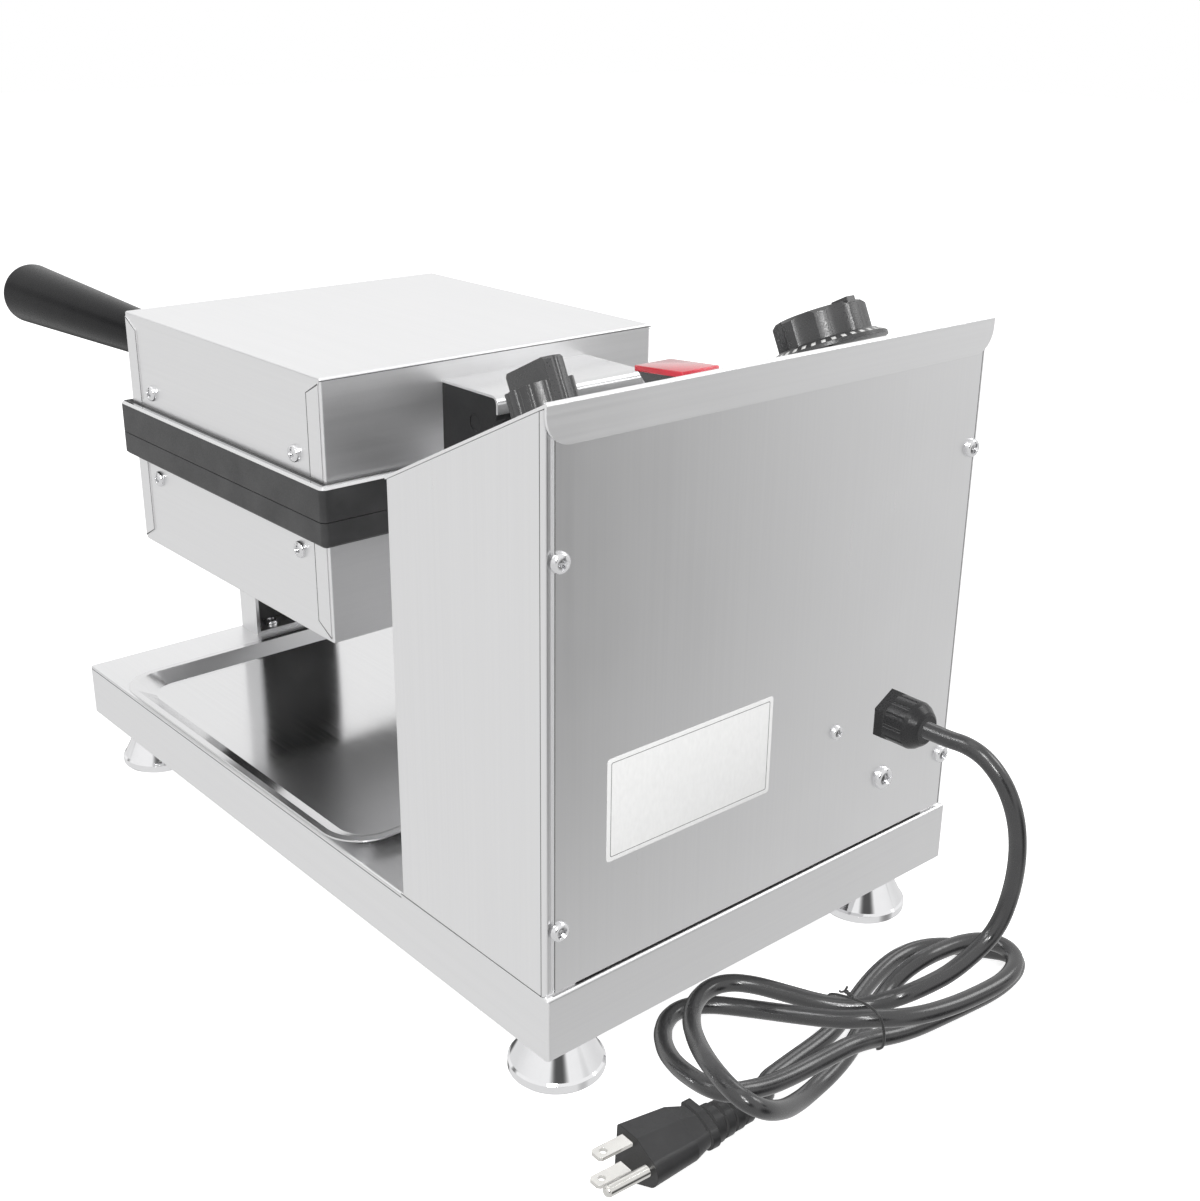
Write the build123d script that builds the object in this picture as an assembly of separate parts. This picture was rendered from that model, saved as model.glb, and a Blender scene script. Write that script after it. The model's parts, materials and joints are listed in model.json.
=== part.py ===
from build123d import *
import math
import os

# Bubble waffle maker with a head that turns over. Millimetres, +Z up, +Y to the control box,
# +X to the right of a person who stands at the handle. The origin is on the floor, below the
# middle of the machine's box without its power cord.

# Feet and base
FOOT_HEIGHT = 29.0
FOOT_FLANGE_R = 21.0
FOOT_RIM = 4.5
FOOT_NECK_R = 8.0
FOOT_INSET = 26.0
FOOT_STUD_R = 4.0
FOOT_STUD_LENGTH = 16.0
FOOT_NUT_FLATS = 13.0
FOOT_NUT_HEIGHT = 6.5
BASE_WIDTH = 250.0
BASE_LENGTH = 422.0
BASE_HEIGHT = 29.0
BASE_SHEET = 1.5
BASE_BEND_R = 1.4
BASE_LIP = 14.0
GUSSET_SIZE = 48.0
GUSSET_SHEET = 2.5

# Control box
BOX_DEPTH = 101.5
PANEL_ABOVE_AXIS = 46.6
PANEL_RISE = 49.5
BOX_SHEET = 1.2
BOX_LIP = 15.0
BOX_CORNER_R = 2.6
BOX_FOOT_FLANGE = 12.0
FLAP_HEIGHT = 16.0
FLAP_CORNER_R = 11.0
PANEL_FRONT_FLANGE = 12.0
REAR_PANEL_MARGIN = 4.4
REAR_PANEL_GAP = 1.4
REAR_SCREW_INSET = 6.7
REAR_SCREW_LOW = 29.0
REAR_SCREW_HIGH = 181.0
REAR_SCREW_SHANK = 9.0

# What stands on the sloping control panel: in from its sides, then up its slope
TIMER_INSET = 40.0
TIMER_UP = 60.0
TIMER_CASE_WIDTH = 46.0
TIMER_CASE_LENGTH = 42.0
TIMER_CASE_DEPTH = 38.0
SWITCH_X = 16.0
SWITCH_UP = 63.0
THERMOSTAT_INSET = 60.0
THERMOSTAT_UP = 69.0
THERMOSTAT_CASE_WIDTH = 40.0
THERMOSTAT_CASE_LENGTH = 46.0
THERMOSTAT_CASE_DEPTH = 30.0
TAB_WIDTH = 6.3
TAB_THICKNESS = 0.8
TAB_LENGTH = 8.0
SPINDLE_R = 3.0
TIMER_KNOB_R = 13.6
TIMER_KNOB_HEIGHT = 18.0
TIMER_KNOB_LIFT = 5.0
TIMER_KNOB_FLUTES = 14
THERMOSTAT_KNOB_R = 20.6
THERMOSTAT_KNOB_HEIGHT = 13.0
THERMOSTAT_KNOB_LOBES = 8
DIAL_R = 26.5
DIAL_HEIGHT = 4.0
DIAL_LIFT = 4.6
SWITCH_WIDTH = 21.0
SWITCH_LENGTH = 27.0
SWITCH_BEZEL = 2.2
SWITCH_BEZEL_HEIGHT = 2.4
SWITCH_DEPTH = 24.0
ROCKER_TILT = 11.0
ROCKER_RISE = 4.6

# Rear fittings, in from the machine's left side and up from the base's top
GLAND_INSET = 48.0
GLAND_UP = 62.4
GLAND_REACH = 20.0
GLAND_FLANGE = 4.6
GLAND_FLATS = 22.5
GLAND_DOME_R = 11.2
GLAND_THREAD_R = 8.0
GLAND_BORE_R = 4.3
GLAND_MOUTH_R = 3.2
BONDING_INSET = 49.8
BONDING_UP = 30.8
TERMINAL_INSET = 85.3
TERMINAL_UP = 65.0

# Head: two halves that close on the axis that the head turns about
AXIS_HEIGHT = 201.4
HEAD_SETBACK = 35.7
HEAD_WIDTH = 197.0
HEAD_LENGTH = 195.0
COVER_SHEET = 1.0
COVER_BEND_R = 1.2
COVER_TAB = 12.0
COVER_TAB_PROUD = 0.5
UPPER_COVER_HEIGHT = 48.5
LOWER_COVER_HEIGHT = 49.5
UPPER_PLATE_EDGE = 16.4
LOWER_PLATE_EDGE = 11.9
PLATE_OVERHANG = 5.3
PLATE_GAP = 0.4
PLATE_CORNER_R = 3.0
PLATE_BACK = 6.0
RIM_HEIGHT = 15.0
RIM_WALL = 7.0
COVER_FIT = 0.3
SIDE_SCREW_INSET = 25.0
SIDE_SCREW_UP = 9.0

# Bubble mould: pockets on a three-way grid in a shallow round field
POCKET_PITCH = 29.0
POCKET_RADIUS = 12.6
POCKET_DEPTH = 10.5
FIELD_RADIUS = 91.0
FIELD_DEPTH = 2.3
GUTTER_RADIUS = 97.0
GUTTER_WIDTH = 3.0
GUTTER_DEPTH = 2.0

# Heaters and probe on the backs of the mould plates
HEATER_R = 3.4
HEATER_BEND_R = 14.0
HEATER_SPAN = 66.0
PROBE_R = 3.0
PROBE_LENGTH = 76.0

# Lid hinge behind the head
HINGE_X = -11.0
HINGE_WIDTH = 88.0
HINGE_CHEEK = 5.0
HINGE_BACK = 3.0
HINGE_COVER_SHEET = 1.2
PIN_BEHIND = 25.3
PIN_RISE = 39.6
PIN_R = 4.0
EAR_THICKNESS = 8.0
EAR_R = 11.0
HINGE_REACH = 42.6
HINGE_TOP_RISE = 55.0
HINGE_REAR_DROP = 10.0
HINGE_COVER_DROP = 5.0
HINGE_CHAMFER = 24.0
HINGE_FOOT_RISE = 20.0

# Yoke, shaft and bearing that carry the head at the rear
YOKE_PLATE = 6.0
YOKE_STANDOFF = 7.4
YOKE_DROP = 54.0
YOKE_TOP_DROP = -13.0
YOKE_PAD_TOP = 16.0
YOKE_BOSS_R = 20.0
YOKE_BOSS_LENGTH = 6.0
SHAFT_R = 14.0
SHAFT_BORE_R = 9.0
BEARING_BARREL_R = 22.0
BEARING_FLANGE_R = 34.0
BEARING_FLANGE = 5.0
BEARING_LENGTH = 26.0
BEARING_BOLT_RADIUS = 28.0
COLLAR_R = 21.0
COLLAR_LENGTH = 10.0
STOP_RADIUS = 28.0
STOP_PIN_R = 4.0
STOP_PIN_THREAD = 3.5
STOP_ARM_WIDTH = 10.0
STOP_ARM_REACH = 33.0

# Post, bush and stub that carry the head at the front
POST_WIDTH = 56.0
POST_DEPTH = 19.0
POST_GAP = 13.7
POST_SHEET = 2.0
POST_CORNER_R = 8.0
POST_TOP_RISE = 19.0
STUB_R = 6.0
BUSH_R = 10.0
BUSH_FLANGE_R = 14.0
BUSH_FLANGE = 2.5
BRACKET_WIDTH = 44.0
BRACKET_PLATE = 4.0
BRACKET_STANDOFF = 7.7
BRACKET_DROP = 52.0
BRACKET_TOP_RISE = 9.0
COUNTERBORE_DEPTH = 2.6

# Handle on the front of the upper half
HANDLE_X = 68.0
HANDLE_RISE = 41.5
ROD_R = 5.0
ROD_SHOWING = 20.0
GRIP_LENGTH = 187.7
GRIP_NECK_R = 11.5
GRIP_END_R = 18.3
GRIP_END_ROUND = 5.0
GRIP_HOLLOW = 130.0
FERRULE_R = 11.0
FERRULE_LENGTH = 8.0

# Latch on the front face
LATCH_X = -55.0
LATCH_PIVOT_RISE = 31.0
LATCH_PEG_DROP = 22.4
LATCH_PLATE = 2.5
LATCH_STANDOFF = 7.0
LATCH_ARM = 10.0
LATCH_PEG_R = 3.0
LATCH_HEAD_R = 5.0
LATCH_HEAD = 2.5
LATCH_OPEN_ANGLE = 42.0

# Drip tray
TRAY_WIDTH = 257.0
TRAY_LENGTH = 241.0
TRAY_SETBACK = 43.0
TRAY_RIM_HEIGHT = 6.0
TRAY_SHEET = 0.8
TRAY_CORNER_R = 22.0
TRAY_SLOPE = 9.0
TRAY_RIM = 2.5

# Power cord: a free stretch from the gland, then a hank tied at its waist. Each point is its X,
# its distance behind the base's middle, and its height above the floor
CORD_R = 4.0
CORD_STRAIGHT = 12.0
CORD_ARC_SHARE = 0.45
FREE_ROUTE = [
    (-77.6, 251.5, 121.0), (-78.5, 260.2, 118.8), (-79.5, 267.8, 113.2), (-80.6, 273.9, 105.2),
    (-81.8, 278.4, 94.0), (-83.0, 280.2, 81.2), (-84.2, 279.9, 67.2), (-84.2, 278.4, 53.2),
    (-80.2, 277.6, 41.8), (-74.0, 275.4, 32.5)]
HANK_ROUTE = [
    (-54.6, 272.9, 24.6), (-38.5, 270.0, 22.6), (-27.4, 266.1, 20.5), (-22.0, 258.0, 15.0),
    (-13.3, 250.6, 13.2), (-5.8, 241.2, 13.2), (0.4, 227.1, 13.2), (6.7, 213.0, 13.3),
    (14.3, 203.8, 13.4), (24.9, 201.0, 13.6), (37.5, 205.0, 13.8), (49.5, 215.1, 15.5),
    (60.2, 229.1, 19.0), (72.6, 247.5, 26.4), (80.8, 264.1, 31.0), (83.2, 277.1, 31.0),
    (77.7, 283.3, 26.5), (62.1, 280.3, 16.0), (44.6, 274.1, 7.5), (31.1, 270.2, 4.4),
    (18.2, 268.0, 4.2), (2.6, 263.8, 4.2), (-13.3, 257.3, 4.2), (-30.0, 250.7, 4.2),
    (-44.7, 246.1, 5.5), (-56.0, 245.9, 9.5), (-66.5, 248.1, 13.2), (-80.1, 249.3, 13.2),
    (-92.2, 251.9, 13.2), (-101.3, 257.0, 13.2), (-104.8, 265.5, 13.2), (-101.6, 274.3, 13.2),
    (-92.3, 280.2, 13.2), (-80.2, 282.5, 13.2), (-66.1, 281.9, 13.4), (-48.8, 280.5, 14.4),
    (-31.6, 277.7, 16.0), (-18.7, 272.8, 17.2), (-8.9, 265.7, 17.8), (-2.2, 257.4, 15.4),
    (2.7, 246.9, 13.0), (7.4, 234.2, 10.0), (10.6, 219.8, 5.5), (16.5, 209.2, 4.2),
    (23.9, 200.8, 4.2), (32.9, 195.4, 4.2), (43.1, 195.3, 4.2), (53.5, 201.7, 4.4),
    (63.4, 214.2, 7.0), (71.0, 228.8, 11.5), (76.0, 243.3, 16.5), (78.6, 255.6, 20.4),
    (76.1, 263.3, 21.2), (67.6, 266.1, 19.8), (56.5, 267.0, 17.0), (44.0, 266.8, 14.6),
    (30.8, 266.6, 13.2), (18.3, 267.3, 13.0), (5.4, 268.0, 12.7), (-8.8, 268.4, 9.1),
    (-19.8, 270.5, 6.8), (-33.3, 272.0, 4.9), (-47.3, 273.2, 4.2), (-63.7, 275.2, 4.2),
    (-81.0, 277.0, 4.2), (-96.8, 276.1, 4.2), (-109.7, 271.7, 4.2), (-113.2, 263.7, 4.2),
    (-107.9, 255.8, 4.2), (-100.7, 246.6, 4.2), (-92.7, 238.0, 4.2), (-81.7, 232.7, 4.2),
    (-69.0, 231.5, 4.2), (-54.8, 233.5, 4.2), (-41.2, 237.0, 4.2), (-27.7, 241.6, 4.2),
    (-15.3, 245.9, 4.2), (-2.6, 249.7, 4.2), (10.5, 251.2, 4.2), (21.9, 251.9, 4.2),
    (33.0, 252.8, 4.2), (43.2, 253.9, 4.4), (48.6, 258.6, 5.4)]

# Plug: where its strain relief starts, which way it points, and its own sizes
PLUG_X = 63.3
PLUG_BEHIND = 262.2
PLUG_Z = 7.8
PLUG_YAW = -2.0
PLUG_TILT = 2.6
PLUG_BODY_LENGTH = 32.0
PLUG_RELIEF_LENGTH = 26.0
PLUG_FLAT_SIDE = 12.4
PLUG_HEIGHT = 20.6
PLUG_SHOULDER = 0.8
PLUG_EARTH_R = 6.6
PLUG_CORNER_R = 1.6
PLUG_COLLAR = 2.8
BLADE_LENGTH = 16.0
BLADE_WIDTH = 6.35
BLADE_THICKNESS = 1.5
BLADE_SPACING = 12.7
EARTH_PIN_R = 2.4
EARTH_PIN_LENGTH = 20.5
EARTH_PIN_OFFSET = 11.9

# Clearances
MOVING_GAP = 0.3
RUNNING_FIT = 0.05
SHEET_GAP = 0.2

# Screws: head radius, head height, shank radius
PAN_SCREW = (4.2, 2.7, 2.0)
SMALL_SCREW = (3.4, 2.2, 1.5)
BONDING_SCREW = (5.6, 3.2, 2.5)
CAP_SCREW = (4.4, 3.4, 2.5)

# Planes and axes that several pieces share
REACH_FRONT = BASE_LENGTH / 2 - HEAD_SETBACK + ROD_SHOWING + GRIP_LENGTH
REACH_REAR = BASE_LENGTH / 2 + GLAND_REACH
BASE_MIDDLE_Y = (REACH_FRONT - REACH_REAR) / 2
BASE_FRONT_Y = BASE_MIDDLE_Y - BASE_LENGTH / 2
BASE_REAR_Y = BASE_MIDDLE_Y + BASE_LENGTH / 2
BASE_TOP = FOOT_HEIGHT + BASE_HEIGHT
BOX_FRONT_Y = BASE_REAR_Y - BOX_DEPTH
PANEL_FRONT_Z = AXIS_HEIGHT + PANEL_ABOVE_AXIS
PANEL_REAR_Z = PANEL_FRONT_Z + PANEL_RISE
PANEL_ANGLE = math.atan2(PANEL_REAR_Z - PANEL_FRONT_Z, BOX_DEPTH)
PANEL_SLOPE = math.hypot(PANEL_REAR_Z - PANEL_FRONT_Z, BOX_DEPTH)
PANEL_NORMAL = (0, -math.sin(PANEL_ANGLE), math.cos(PANEL_ANGLE))
PANEL = Plane(origin=(0, BOX_FRONT_Y, PANEL_FRONT_Z), x_dir=(1, 0, 0), z_dir=PANEL_NORMAL)
REAR_PANEL_Y = BASE_REAR_Y - BOX_SHEET
LIP_Y = REAR_PANEL_Y - BOX_SHEET
HEAD_FRONT_Y = BASE_FRONT_Y + HEAD_SETBACK
HEAD_REAR_Y = HEAD_FRONT_Y + HEAD_LENGTH
HEAD_MIDDLE_Y = (HEAD_FRONT_Y + HEAD_REAR_Y) / 2
LOWER_FACE = AXIS_HEIGHT - PLATE_GAP / 2
UPPER_FACE = AXIS_HEIGHT + PLATE_GAP / 2
LOWER_COVER_TOP = LOWER_FACE - LOWER_PLATE_EDGE
UPPER_COVER_BOTTOM = UPPER_FACE + UPPER_PLATE_EDGE
PIN_Y = HEAD_REAR_Y + PIN_BEHIND
PIN_Z = AXIS_HEIGHT + PIN_RISE
POST_REAR_Y = HEAD_FRONT_Y - POST_GAP
POST_FRONT_Y = POST_REAR_Y - POST_DEPTH
YOKE_FRONT_Y = HEAD_REAR_Y + YOKE_STANDOFF
YOKE_REAR_Y = YOKE_FRONT_Y + YOKE_PLATE
BEARING_FRONT_Y = BOX_FRONT_Y - BEARING_FLANGE
BEARING_REAR_Y = BEARING_FRONT_Y + BEARING_LENGTH
COLLAR_FRONT_Y = BEARING_REAR_Y + MOVING_GAP
COLLAR_REAR_Y = COLLAR_FRONT_Y + COLLAR_LENGTH
BRACKET_REAR_Y = HEAD_FRONT_Y - BRACKET_STANDOFF
BRACKET_FRONT_Y = BRACKET_REAR_Y - BRACKET_PLATE
HANDLE_Z = AXIS_HEIGHT + HANDLE_RISE
LATCH_PIVOT_Z = AXIS_HEIGHT + LATCH_PIVOT_RISE
LATCH_PEG_Z = AXIS_HEIGHT - LATCH_PEG_DROP
LATCH_LENGTH = LATCH_PIVOT_Z - LATCH_PEG_Z
LATCH_REAR_Y = HEAD_FRONT_Y - LATCH_STANDOFF
TIMER_X = BASE_WIDTH / 2 - TIMER_INSET
THERMOSTAT_X = THERMOSTAT_INSET - BASE_WIDTH / 2
GLAND_X = GLAND_INSET - BASE_WIDTH / 2
BONDING_X = BONDING_INSET - BASE_WIDTH / 2
TERMINAL_X = TERMINAL_INSET - BASE_WIDTH / 2
GLAND_Z = BASE_TOP + GLAND_UP
PLUG_AXIS = Vector(1, 0, 0).rotate(Axis.Y, -PLUG_TILT).rotate(Axis.Z, PLUG_YAW)
PLUG_UP = Vector(0, 0, 1).rotate(Axis.Y, -PLUG_TILT).rotate(Axis.Z, PLUG_YAW)
PLUG_START = Vector(PLUG_X, BASE_MIDDLE_Y + PLUG_BEHIND, PLUG_Z)
PLUG = Plane(origin=PLUG_START, x_dir=PLUG_AXIS, z_dir=PLUG_UP)


def block(x0, x1, y0, y1, z0, z1):
    """A box from its lowest corner to its highest."""
    return Pos((x0 + x1) / 2, (y0 + y1) / 2, (z0 + z1) / 2) * Box(x1 - x0, y1 - y0, z1 - z0)


def along_y(radius, x, z, y0, y1):
    """A cylinder along Y from y0 to y1."""
    return Pos(x, (y0 + y1) / 2, z) * Rot(90, 0, 0) * Cylinder(radius, y1 - y0)


def along_x(radius, y, z, x0, x1):
    """A cylinder along X from x0 to x1."""
    return Pos((x0 + x1) / 2, y, z) * Rot(0, 90, 0) * Cylinder(radius, x1 - x0)


def along_z(radius, x, y, z0, z1):
    """A cylinder along Z from z0 to z1."""
    return Pos(x, y, (z0 + z1) / 2) * Cylinder(radius, z1 - z0)


def side_profile(points, x0, x1):
    """A solid with an outline in Y and Z, from x0 to x1."""
    outline = Plane.YZ * make_face(Polyline(*points, close=True))
    return Pos(x0, 0, 0) * extrude(outline, amount=x1 - x0)


def front_profile(points, y0, y1):
    """A solid with an outline in X and Z, from y0 to y1."""
    outline = Plane.XZ * make_face(Polyline(*points, close=True))
    return Pos(0, y1, 0) * extrude(outline, amount=y1 - y0)


def hexagon(flats, height):
    """A hexagonal prism that stands on its origin."""
    return extrude(RegularPolygon(flats / 2, 6, major_radius=False), amount=height)


def screw(sizes, shank):
    """A pan head that stands on the origin plane, with its shank below."""
    head_r, head_h, shank_r = sizes
    head = Pos(0, 0, head_h / 2) * Cylinder(head_r, head_h)
    head = fillet(head.edges().group_by(Axis.Z)[-1], head_h * 0.6)
    return head + Pos(0, 0, -shank / 2) * Cylinder(shank_r, shank)


def facing(x, y, z, direction):
    """A place whose own Z points along a direction."""
    return Plane(origin=(x, y, z), z_dir=direction)


def rect_ring(width, length, wall, y_middle, z0, z1):
    """An upright rectangular wall round the head's middle."""
    outer = Pos(0, y_middle, (z0 + z1) / 2) * Box(width, length, z1 - z0)
    inner = Pos(0, y_middle, (z0 + z1) / 2) * Box(width - 2 * wall, length - 2 * wall, z1 - z0 + 2)
    return outer - inner


def foot_places():
    """The four feet: name, x and y."""
    reach_x = BASE_WIDTH / 2 - FOOT_INSET
    reach_y = BASE_LENGTH / 2 - FOOT_INSET
    sides = (("front_left", -1, -1), ("front_right", 1, -1), ("rear_left", -1, 1), ("rear_right", 1, 1))
    return [(name, reach_x * i, BASE_MIDDLE_Y + reach_y * j) for name, i, j in sides]


def base_frame():
    """Inverted sheet pan with a return lip and corner gussets that carry the feet."""
    middle = (0, BASE_MIDDLE_Y, FOOT_HEIGHT + BASE_HEIGHT / 2)
    outer = Pos(*middle) * Box(BASE_WIDTH, BASE_LENGTH, BASE_HEIGHT)
    bends = outer.edges().filter_by(Axis.Z) + outer.edges().group_by(Axis.Z)[-1]
    outer = fillet(bends, BASE_BEND_R)
    inside_x = BASE_WIDTH / 2 - BASE_SHEET
    inside_y = BASE_LENGTH / 2 - BASE_SHEET
    cavity = block(-inside_x, inside_x, BASE_MIDDLE_Y - inside_y, BASE_MIDDLE_Y + inside_y,
                   FOOT_HEIGHT + BASE_SHEET, BASE_TOP - BASE_SHEET)
    mouth_x = inside_x - BASE_LIP
    mouth_y = inside_y - BASE_LIP
    mouth = block(-mouth_x, mouth_x, BASE_MIDDLE_Y - mouth_y, BASE_MIDDLE_Y + mouth_y,
                  FOOT_HEIGHT - 1, FOOT_HEIGHT + 2 * BASE_SHEET)
    pan = outer - cavity - mouth
    lip_top = FOOT_HEIGHT + BASE_SHEET
    for _, x, y in foot_places():
        corner_x = math.copysign(inside_x - GUSSET_SIZE / 2, x)
        corner_y = BASE_MIDDLE_Y + math.copysign(inside_y - GUSSET_SIZE / 2, y - BASE_MIDDLE_Y)
        pan += Pos(corner_x, corner_y, lip_top + GUSSET_SHEET / 2) * Box(GUSSET_SIZE, GUSSET_SIZE, GUSSET_SHEET)
    for _, x, y in foot_places():
        pan -= along_z(FOOT_STUD_R + SHEET_GAP, x, y, FOOT_HEIGHT - 1, lip_top + GUSSET_SHEET + 1)
    for x, y in post_screw_places() + box_screw_places():
        pan -= along_z(PAN_SCREW[2], x, y, BASE_TOP - 2 * BASE_SHEET, BASE_TOP + 1)
    return pan


def foot(x, y):
    """Turned bell foot with a flat sole, a vertical rim and a threaded stud."""
    neck = FOOT_NECK_R
    gusset_bottom = FOOT_HEIGHT + BASE_SHEET
    profile = make_face(Polyline(
        (0, 0), (FOOT_FLANGE_R - 1, 0), (FOOT_FLANGE_R, 1), (FOOT_FLANGE_R, FOOT_RIM),
        (FOOT_FLANGE_R - 1, FOOT_RIM + 1), (neck + 1, gusset_bottom - 3), (neck, gusset_bottom - 1.5),
        (neck, gusset_bottom), (FOOT_STUD_R, gusset_bottom),
        (FOOT_STUD_R, gusset_bottom + FOOT_STUD_LENGTH), (0, gusset_bottom + FOOT_STUD_LENGTH), close=True))
    return Pos(x, y, 0) * revolve(Plane.XZ * profile, axis=Axis.Z)


def foot_nuts():
    """Hexagon nuts that clamp the feet's studs to the gussets."""
    top = FOOT_HEIGHT + BASE_SHEET + GUSSET_SHEET
    nut = hexagon(FOOT_NUT_FLATS, FOOT_NUT_HEIGHT) - along_z(FOOT_STUD_R, 0, 0, -1, FOOT_NUT_HEIGHT + 1)
    return [Pos(x, y, top) * nut for _, x, y in foot_places()]


def post_screw_places():
    """Where the front post is screwed down."""
    y = POST_FRONT_Y + POST_SHEET + (POST_DEPTH - POST_SHEET) / 2
    return [(-POST_WIDTH / 4, y), (POST_WIDTH / 4, y)]


def box_screw_places():
    """Where the control box's foot flanges are screwed down."""
    x = BASE_WIDTH / 2 - BOX_SHEET - BOX_FOOT_FLANGE / 2
    ys = (BOX_FRONT_Y + BOX_DEPTH / 4, BOX_FRONT_Y + BOX_DEPTH * 3 / 4)
    return [(i * x, y) for i in (-1, 1) for y in ys]


def rear_screw_places():
    """Where the rear panel is screwed to the lips."""
    x = BASE_WIDTH / 2 - REAR_SCREW_INSET
    return [(i * x, BASE_TOP + up) for i in (-1, 1) for up in (REAR_SCREW_LOW, REAR_SCREW_HIGH)]


def control_box_shell():
    """Sides and front wall from one sheet, with rear lips, foot flanges and a bearing hole."""
    half = BASE_WIDTH / 2
    outline = [(BOX_FRONT_Y, BASE_TOP), (BOX_FRONT_Y, PANEL_REAR_Z), (LIP_Y, PANEL_REAR_Z), (LIP_Y, BASE_TOP)]
    shell = side_profile(outline, -half, half)
    shell = fillet(shell.edges().filter_by(Axis.Z), BOX_CORNER_R)
    shell -= block(BOX_SHEET - half, half - BOX_SHEET, BOX_FRONT_Y + BOX_SHEET, LIP_Y - BOX_SHEET,
                   BASE_TOP - 1, PANEL_REAR_Z + 1)
    mouth = half - BOX_SHEET - BOX_LIP
    shell -= block(-mouth, mouth, LIP_Y - 2 * BOX_SHEET, LIP_Y + 1, BASE_TOP - 1, PANEL_REAR_Z + 1)
    for i in (-1, 1):
        inner = i * (half - BOX_SHEET - BOX_FOOT_FLANGE / 2)
        shell += Pos(inner, (BOX_FRONT_Y + LIP_Y) / 2, BASE_TOP + BOX_SHEET / 2) * Box(
            BOX_FOOT_FLANGE, LIP_Y - BOX_FRONT_Y - 2 * BOX_SHEET, BOX_SHEET)
    above = PANEL * (Pos(0, PANEL_SLOPE / 2, PANEL_SLOPE / 2 - BOX_SHEET - SHEET_GAP) * Box(
        BASE_WIDTH + 2, PANEL_SLOPE * 2, PANEL_SLOPE))
    shell -= above
    shell -= along_y(BEARING_BARREL_R + SHEET_GAP, 0, AXIS_HEIGHT, BOX_FRONT_Y - 1, BOX_FRONT_Y + 5)
    for x, z in bearing_bolt_places() + stop_pin_places():
        shell -= along_y(CAP_SCREW[2], x, z, BOX_FRONT_Y - 1, BOX_FRONT_Y + 5)
    for x, z in rear_screw_places():
        shell -= along_y(PAN_SCREW[2], x, z, LIP_Y - 5, LIP_Y + 1)
    for x, y in box_screw_places():
        shell -= along_z(PAN_SCREW[2], x, y, BASE_TOP - 1, BASE_TOP + 5)
    return shell


def control_panel():
    """Sloping top sheet with a front flange and a rounded rear flap over the rear panel."""
    half = BASE_WIDTH / 2
    rear = BASE_REAR_Y
    ridge = PANEL_REAR_Z
    sheet = PANEL * (Pos(0, PANEL_SLOPE / 2, -BOX_SHEET / 2) * Box(BASE_WIDTH, PANEL_SLOPE, BOX_SHEET))
    sheet += side_profile([
        (rear - BOX_SHEET, ridge - 2 * BOX_SHEET), (rear - BOX_SHEET, ridge - BOX_SHEET / 2),
        (rear, ridge), (rear, ridge - 2 * BOX_SHEET)], -half, half)
    flap = Plane.XZ * Pos(0, ridge - FLAP_HEIGHT / 2) * Rectangle(BASE_WIDTH, FLAP_HEIGHT)
    flap = Pos(0, rear, 0) * extrude(flap, amount=BOX_SHEET)
    flap = fillet(flap.edges().filter_by(Axis.Y).group_by(Axis.Z)[0], FLAP_CORNER_R)
    inner = BOX_FRONT_Y + BOX_SHEET + SHEET_GAP
    flange_top = PANEL_FRONT_Z + math.tan(PANEL_ANGLE) * (BOX_SHEET + SHEET_GAP)
    flange_bottom = PANEL_FRONT_Z - PANEL_FRONT_FLANGE
    flange = block(2 * BOX_SHEET - half, half - 2 * BOX_SHEET, inner, inner + BOX_SHEET,
                   flange_bottom, flange_top - BOX_SHEET / 2)
    panel = sheet + flap + flange
    for x, up, radius in ((TIMER_X, TIMER_UP, SPINDLE_R + 1), (THERMOSTAT_X, THERMOSTAT_UP, SPINDLE_R + 1)):
        panel -= PANEL * (Pos(x, up, 0) * Cylinder(radius, 8 * BOX_SHEET))
    panel -= PANEL * (Pos(SWITCH_X, SWITCH_UP, 0) * Box(SWITCH_WIDTH, SWITCH_LENGTH, 8 * BOX_SHEET))
    return panel


def rear_panel():
    """Flat service panel, screwed to the lips, with the cord gland's hole."""
    half = BASE_WIDTH / 2 - REAR_PANEL_MARGIN
    top = PANEL_REAR_Z - 3 * BOX_SHEET
    panel = block(-half, half, LIP_Y, REAR_PANEL_Y, BASE_TOP + REAR_PANEL_GAP, top)
    panel -= along_y(GLAND_THREAD_R, GLAND_X, GLAND_Z, LIP_Y - 1, REAR_PANEL_Y + 1)
    panel -= along_y(BONDING_SCREW[2], BONDING_X, BASE_TOP + BONDING_UP, LIP_Y - 1, REAR_PANEL_Y + 1)
    panel -= along_y(SMALL_SCREW[2], TERMINAL_X, BASE_TOP + TERMINAL_UP, LIP_Y - 1, REAR_PANEL_Y + 1)
    for x, z in rear_screw_places():
        panel -= along_y(PAN_SCREW[2], x, z, LIP_Y - 1, REAR_PANEL_Y + 1)
    return panel


def screws_at(places, sizes, shank, direction, level):
    """Identical screws on an upright face: x and z, or on a flat one: x and y."""
    if direction == "rear":
        return [facing(x, level, z, (0, 1, 0)) * screw(sizes, shank) for x, z in places]
    if direction == "front":
        return [facing(x, level, z, (0, -1, 0)) * screw(sizes, shank) for x, z in places]
    return [facing(x, y, level, (0, 0, 1)) * screw(sizes, shank) for x, y in places]


def base_screws():
    """Screws that hold the control box and the front post down on the base."""
    box = screws_at(box_screw_places(), PAN_SCREW, 4, "up", BASE_TOP + BOX_SHEET)
    post = screws_at(post_screw_places(), PAN_SCREW, 5, "up", BASE_TOP + POST_SHEET)
    return box + post


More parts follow.
